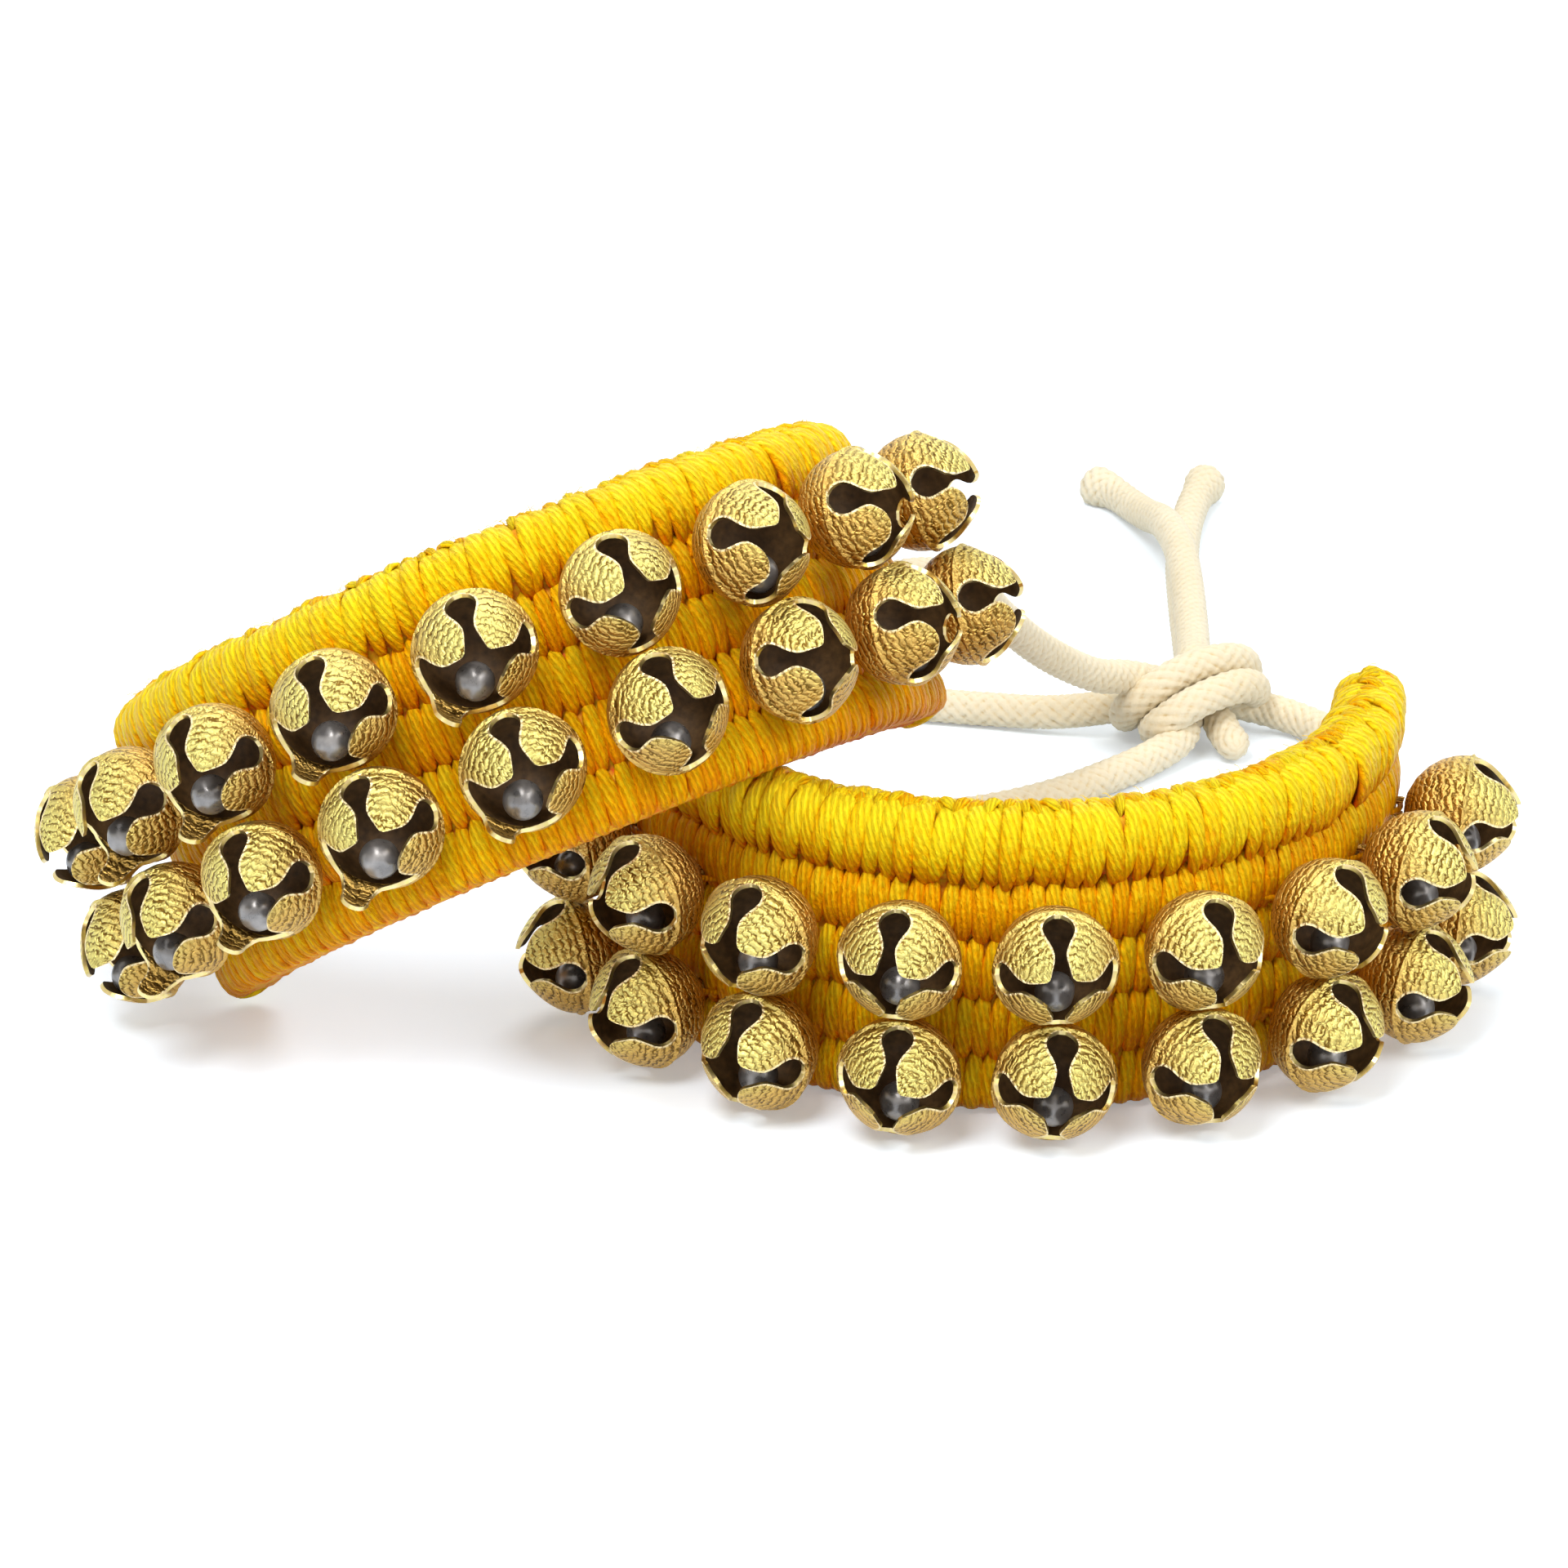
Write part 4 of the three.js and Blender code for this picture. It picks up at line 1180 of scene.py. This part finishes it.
def band_core(anklet, look):
    """Closed wadding of the band, under the stitches, with its rows' channels and rounded ends."""
    heights = [CORE_FOOT]
    for low, high in zip(ROW_SEAMS, ROW_SEAMS[1:]):
        heights += [low + (high - low) * share for share in CORE_SHARES]
    heights = np.array(sorted(set(heights[:-1]))) * MM
    face = np.array([max(half_thickness(look, z) - CORE_INSET, CORE_LEAST) for z in heights])
    section_out = np.concatenate([face, [0], -face[::-1]])
    section_up = np.concatenate([heights, [(ROW_SEAMS[-1] - CORE_TOP_INSET) * MM], heights[::-1]])
    reach = anklet.half_arc - CORE_END_ANGLE
    stations = np.linspace(-1, 1, CORE_STATIONS) * reach
    near_end = np.clip((reach - np.abs(stations)) / CORE_ROUNDING_ANGLE, 0, 1)
    drawn = CORE_END_SIZE + (1 - CORE_END_SIZE) * np.sqrt(1 - (1 - near_end) ** 2)
    rings = [anklet.points(angle, section_out * size, section_up) for angle, size in zip(stations, drawn)]
    return loft(np.stack(rings))


def wrapped_yarn(anklet, look, meshes, yarn):
    """All of a band's yarn as one object: its rows, wraps, tufts and fibres, kept above the floor."""

    def loose_object(name, make, seed):
        """The yarn that one function makes, as an object."""
        vertices, faces, attributes = make(anklet, look, np.random.default_rng(seed))
        return mesh_object(name, vertices, faces, [yarn], attributes)

    for make, seed in ((top_tufts, TUFT_SEED), (top_fibres, FIBRE_SEED)):
        loose = loose_object("loose_yarn", make, seed)
        meshes.append(loose.data)
        bpy.data.objects.remove(loose)
    made = loose_object(f"{anklet.name}_yarn", end_wraps, WRAP_SEED)
    whole = bmesh.new()
    whole.from_mesh(made.data)
    for mesh in meshes:
        whole.from_mesh(mesh)
        bpy.data.meshes.remove(mesh)
    bmesh.ops.recalc_face_normals(whole, faces=whole.faces)
    for vertex in whole.verts:
        vertex.co.z = max(vertex.co.z, 0)
    whole.to_mesh(made.data)
    whole.free()
    made.data.shade_smooth()
    return made


class GHUNGROO_OT_bands(bpy.types.Operator):
    """Wrap both bands in rows of yarn stitches"""
    bl_idname = "ghungroo.bands"
    bl_label = "Bands"

    def execute(self, context):
        look = context.scene.ghungroo_band
        yarn = yarn_material(look)
        core = core_material(look)
        stitches = stitch_shapes(look)
        group = stitch_tree()
        for anklet in ANKLETS.values():
            wraps = wrapped_yarn(anklet, look, all_rows(anklet, look, group, stitches, yarn), yarn)
            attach(wraps, anklet.body)
            wadding = mesh_object(f"{anklet.name}_wadding", *band_core(anklet, look), [core])
            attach(wadding, anklet.body)
            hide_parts(f"{anklet.name}_band")
        for stitch in stitches:
            bpy.data.objects.remove(stitch)
        return {"FINISHED"}


# Sewing threads

THREAD_RADIUS = 0.5 * MM
THREAD_SIDES = 8
THREAD_TINT = 0.4
# Place on the yarn of a thread: its height above the crease sets its painted crease shade
THREAD_PLACE = [0.3, 0.0, 0.6]

# Places of a thread in millimetres, to the bell's side and behind its eyelet's hole
THREAD_PATH = [(-4.2, 2.6), (-3.0, 1.2), (-1.5, 0.1), (0, -0.1), (1.5, 0.1), (3.0, 1.2), (4.2, 2.6)]


class GHUNGROO_OT_threads(bpy.types.Operator):
    """Sew the bells to their bands with a loop of yarn through each eyelet"""
    bl_idname = "ghungroo.threads"
    bl_label = "Sewing threads"

    def execute(self, context):
        yarn = bpy.data.materials["silky_yarn"]
        parts = {name: [] for name in ANKLETS}
        for bell in all_bells():
            side, back, hole = np.array(bell.side), -np.array(bell.front), np.array(bell.hole)
            path = np.array([hole + side * across * MM + back * depth * MM for across, depth in THREAD_PATH])
            parts[bell.anklet.name].append(tube(path, THREAD_RADIUS, THREAD_SIDES, np.array(bell.up)))
        for name, threads in parts.items():
            vertices, faces = joined(threads)
            strand = np.tile(THREAD_PLACE, (len(vertices), 1)) + vertices[:, :1] / MM * SIDEWAYS
            made = mesh_object(f"{name}_sewing_threads", vertices, faces, [yarn],
                               {"strand": strand, "tint": np.full(len(vertices), THREAD_TINT)})
            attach(made, ANKLETS[name].body)
        return {"FINISHED"}


# Ties

CORD_SPACING = 0.45 * MM
CORD_SIDES = 48
PLAIT_DEPTH = 0.7 * MM
STRAND_ROUNDNESS = 0.72
END_ROUNDING = 0.45
LEAST_END = 0.12
TAIL_SWELL = 0.28
SWELL_PLACE = 0.5
SWELL_LENGTH = 0.6


def braided_tube(path, look, swollen=0.0):
    """A cord that rises and falls as plaited strands do, its ends round and its last one swollen."""
    along = np.arange(len(path)) * np.linalg.norm(path[1] - path[0])
    turn = full_turn(CORD_SIDES)
    lead = 2 * math.pi * along[:, None] / look.plait
    right, left = ((turn[None] - hand * lead) * look.strands / (2 * math.pi) for hand in (1, -1))
    right_over = (np.floor(right) + np.floor(left)) % 2 < 1
    rounded = [np.sqrt(np.maximum(1 - (2 * (strand % 1.0) - 1) ** 2, 0)) for strand in (right, left)]
    dipping = [np.sin(math.pi * (strand % 1.0)) for strand in (left, right)]
    relief = np.where(right_over, *(STRAND_ROUNDNESS * across + (1 - STRAND_ROUNDNESS) * dip
                                    for across, dip in zip(rounded, dipping)))
    to_end = along[-1] - along
    nearer = np.clip(np.minimum(along, to_end) / (END_ROUNDING * look.diameter), 0, 1)
    taper = np.sqrt(np.clip(1 - (1 - nearer) ** 2, LEAST_END, 1))
    swell = (to_end - SWELL_PLACE * look.diameter) / (SWELL_LENGTH * look.diameter)
    taper *= 1 + swollen * np.exp(-swell ** 2)
    radius = (look.diameter / 2 - PLAIT_DEPTH * (1 - relief)) * taper[:, None]
    vertices, faces = loft(path[:, None] + radius[..., None] * oval_rings(path, turn, 1, 1))
    vertices[:, 2] = np.maximum(vertices[:, 2], 0)
    return vertices, faces, relief.ravel()


class GHUNGROO_OT_ties(bpy.types.Operator):
    """Lay the cotton ties from the bands' ends to the knot, and the knot's tails"""
    bl_idname = "ghungroo.ties"
    bl_label = "Ties and knot"

    def execute(self, context):
        look = context.scene.ghungroo_tie
        cotton = cotton_material(look)
        strands = [braided_tube(smooth_route(route, CORD_SPACING), look) for route in KNOT_ROUTES]
        vertices, faces = joined([strand[:2] for strand in strands])
        plait = np.concatenate([relief for _, _, relief in strands])
        knot = mesh_object("tie_knot", vertices, faces, [cotton], {"plait": plait})
        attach(knot, "pair")
        for name, route in {**TIE_ROUTES, **TAIL_ROUTES}.items():
            path = smooth_route(route, CORD_SPACING)
            vertices, faces, relief = braided_tube(path, look, TAIL_SWELL if name in TAIL_ROUTES else 0)
            made = mesh_object(f"{name}_cord", vertices, faces, [cotton], {"plait": relief})
            if name.startswith("leaning"):
                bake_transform(made)
            else:
                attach(made, "pair")
            if name in TIE_ROUTES:
                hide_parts(name)
        return {"FINISHED"}


# Stage

# Camera, placed from the photograph
CAMERA_PLACE = (0.98 * MM, -1302.54 * MM, 598.23 * MM)
CAMERA_PITCH = 67.06
CAMERA_LENS = 196.875
SENSOR_WIDTH = 36
CAMERA_REACH = 20

FLOOR_HALF = 6.0
FLOOR_HEIGHT = -0.2 * MM
FLOOR_COLOUR = (0.785, 0.865, 0.96, 1)
FLOOR_GLOW = 0.3
WHITE = (1, 1, 1, 1)
WORLD_LIGHT = 0.45
LAMP_TARGET = (0, 0.03, 0.04)

# Place, size and power of each lamp
LAMPS = {
    "key": ((-0.4, -0.7, 1.4), 0.8, 18),
    "fill": ((0.9, -0.6, 0.9), 0.9, 9),
    "back": ((0.1, 1.1, 1.2), 0.9, 8),
}


def floor_material():
    """Pale floor that keeps the shadow, and shows white where it is lit."""
    material, tree, shader = new_material(
        "pale_floor", Base_Color=FLOOR_COLOUR, Roughness=0.9, Specular_IOR_Level=0.0, Emission_Color=WHITE)
    glow = math_node(tree, "MULTIPLY", seen_rays(tree), FLOOR_GLOW)
    tree.links.new(glow, shader.inputs["Emission Strength"])
    return material


def area_light(name, place, size, power):
    """A soft round lamp that looks at the anklets."""
    lamp = bpy.data.lights.new(name, "AREA")
    lamp.shape = "DISK"
    lamp.size = size
    lamp.energy = power
    made = bpy.data.objects.new(name, lamp)
    made.location = place
    made.rotation_euler = (Vector(LAMP_TARGET) - Vector(place)).to_track_quat("-Z", "Y").to_euler()
    bpy.context.scene.collection.objects.link(made)


class GHUNGROO_OT_stage(bpy.types.Operator):
    """Set the camera, the soft lamps and the pale floor"""
    bl_idname = "ghungroo.stage"
    bl_label = "Stage"

    def execute(self, context):
        scene = context.scene
        scene.view_settings.view_transform = "Standard"
        camera = bpy.data.objects.new("camera", bpy.data.cameras.new("camera"))
        camera.data.lens = CAMERA_LENS
        camera.data.sensor_width = SENSOR_WIDTH
        camera.data.clip_end = CAMERA_REACH
        camera.location = CAMERA_PLACE
        camera.rotation_euler = (math.radians(CAMERA_PITCH), 0, 0)
        scene.collection.objects.link(camera)
        scene.camera = camera
        square = ((-1, -1), (1, -1), (1, 1), (-1, 1))
        corners = [(x * FLOOR_HALF, y * FLOOR_HALF, FLOOR_HEIGHT) for x, y in square]
        floor = mesh_object("floor", corners, [(0, 1, 2, 3)], [floor_material()])
        for name, lamp in LAMPS.items():
            area_light(name, *lamp)
        world = bpy.data.worlds.new("studio")
        scene.world = world
        world.use_nodes = True
        tree = world.node_tree
        background = tree.nodes["Background"]
        background.inputs["Color"].default_value = WHITE
        strength = ramp(tree, seen_rays(tree), 0.0, 1.0, WORLD_LIGHT, 1.0)
        tree.links.new(strength, background.inputs["Strength"])
        return {"FINISHED"}


class GHUNGROO_PT_panel(bpy.types.Panel):
    """Lists the steps that dress the anklets"""
    bl_idname = "GHUNGROO_PT_panel"
    bl_label = "Ghungroo"
    bl_space_type = "VIEW_3D"
    bl_region_type = "UI"
    bl_category = "Ghungroo"

    def draw(self, context):
        for step in STEPS:
            self.layout.operator(step.bl_idname)
        for key, group in LOOKS.items():
            for name in group.__annotations__:
                self.layout.prop(getattr(context.scene, key), name)


STEPS = (GHUNGROO_OT_stage, GHUNGROO_OT_ties, GHUNGROO_OT_bands, GHUNGROO_OT_threads, GHUNGROO_OT_bells,
         GHUNGROO_OT_pellets)
LOOKS = {"ghungroo_band": BandLook, "ghungroo_bell": BellLook, "ghungroo_tie": TieLook}
CLASSES = (*LOOKS.values(), *STEPS, GHUNGROO_PT_panel)


def register():
    for group in CLASSES:
        bpy.utils.register_class(group)
    for name, look in LOOKS.items():
        setattr(bpy.types.Scene, name, PointerProperty(type=look))


def unregister():
    for name in LOOKS:
        delattr(bpy.types.Scene, name)
    for group in reversed(CLASSES):
        bpy.utils.unregister_class(group)


def main():
    register()
    bpy.ops.ghungroo.stage()
    bpy.ops.ghungroo.ties()
    bpy.ops.ghungroo.bands()
    bpy.ops.ghungroo.threads()
    bpy.ops.ghungroo.bells()
    bpy.ops.ghungroo.pellets()


if __name__ == "__main__":
    main()
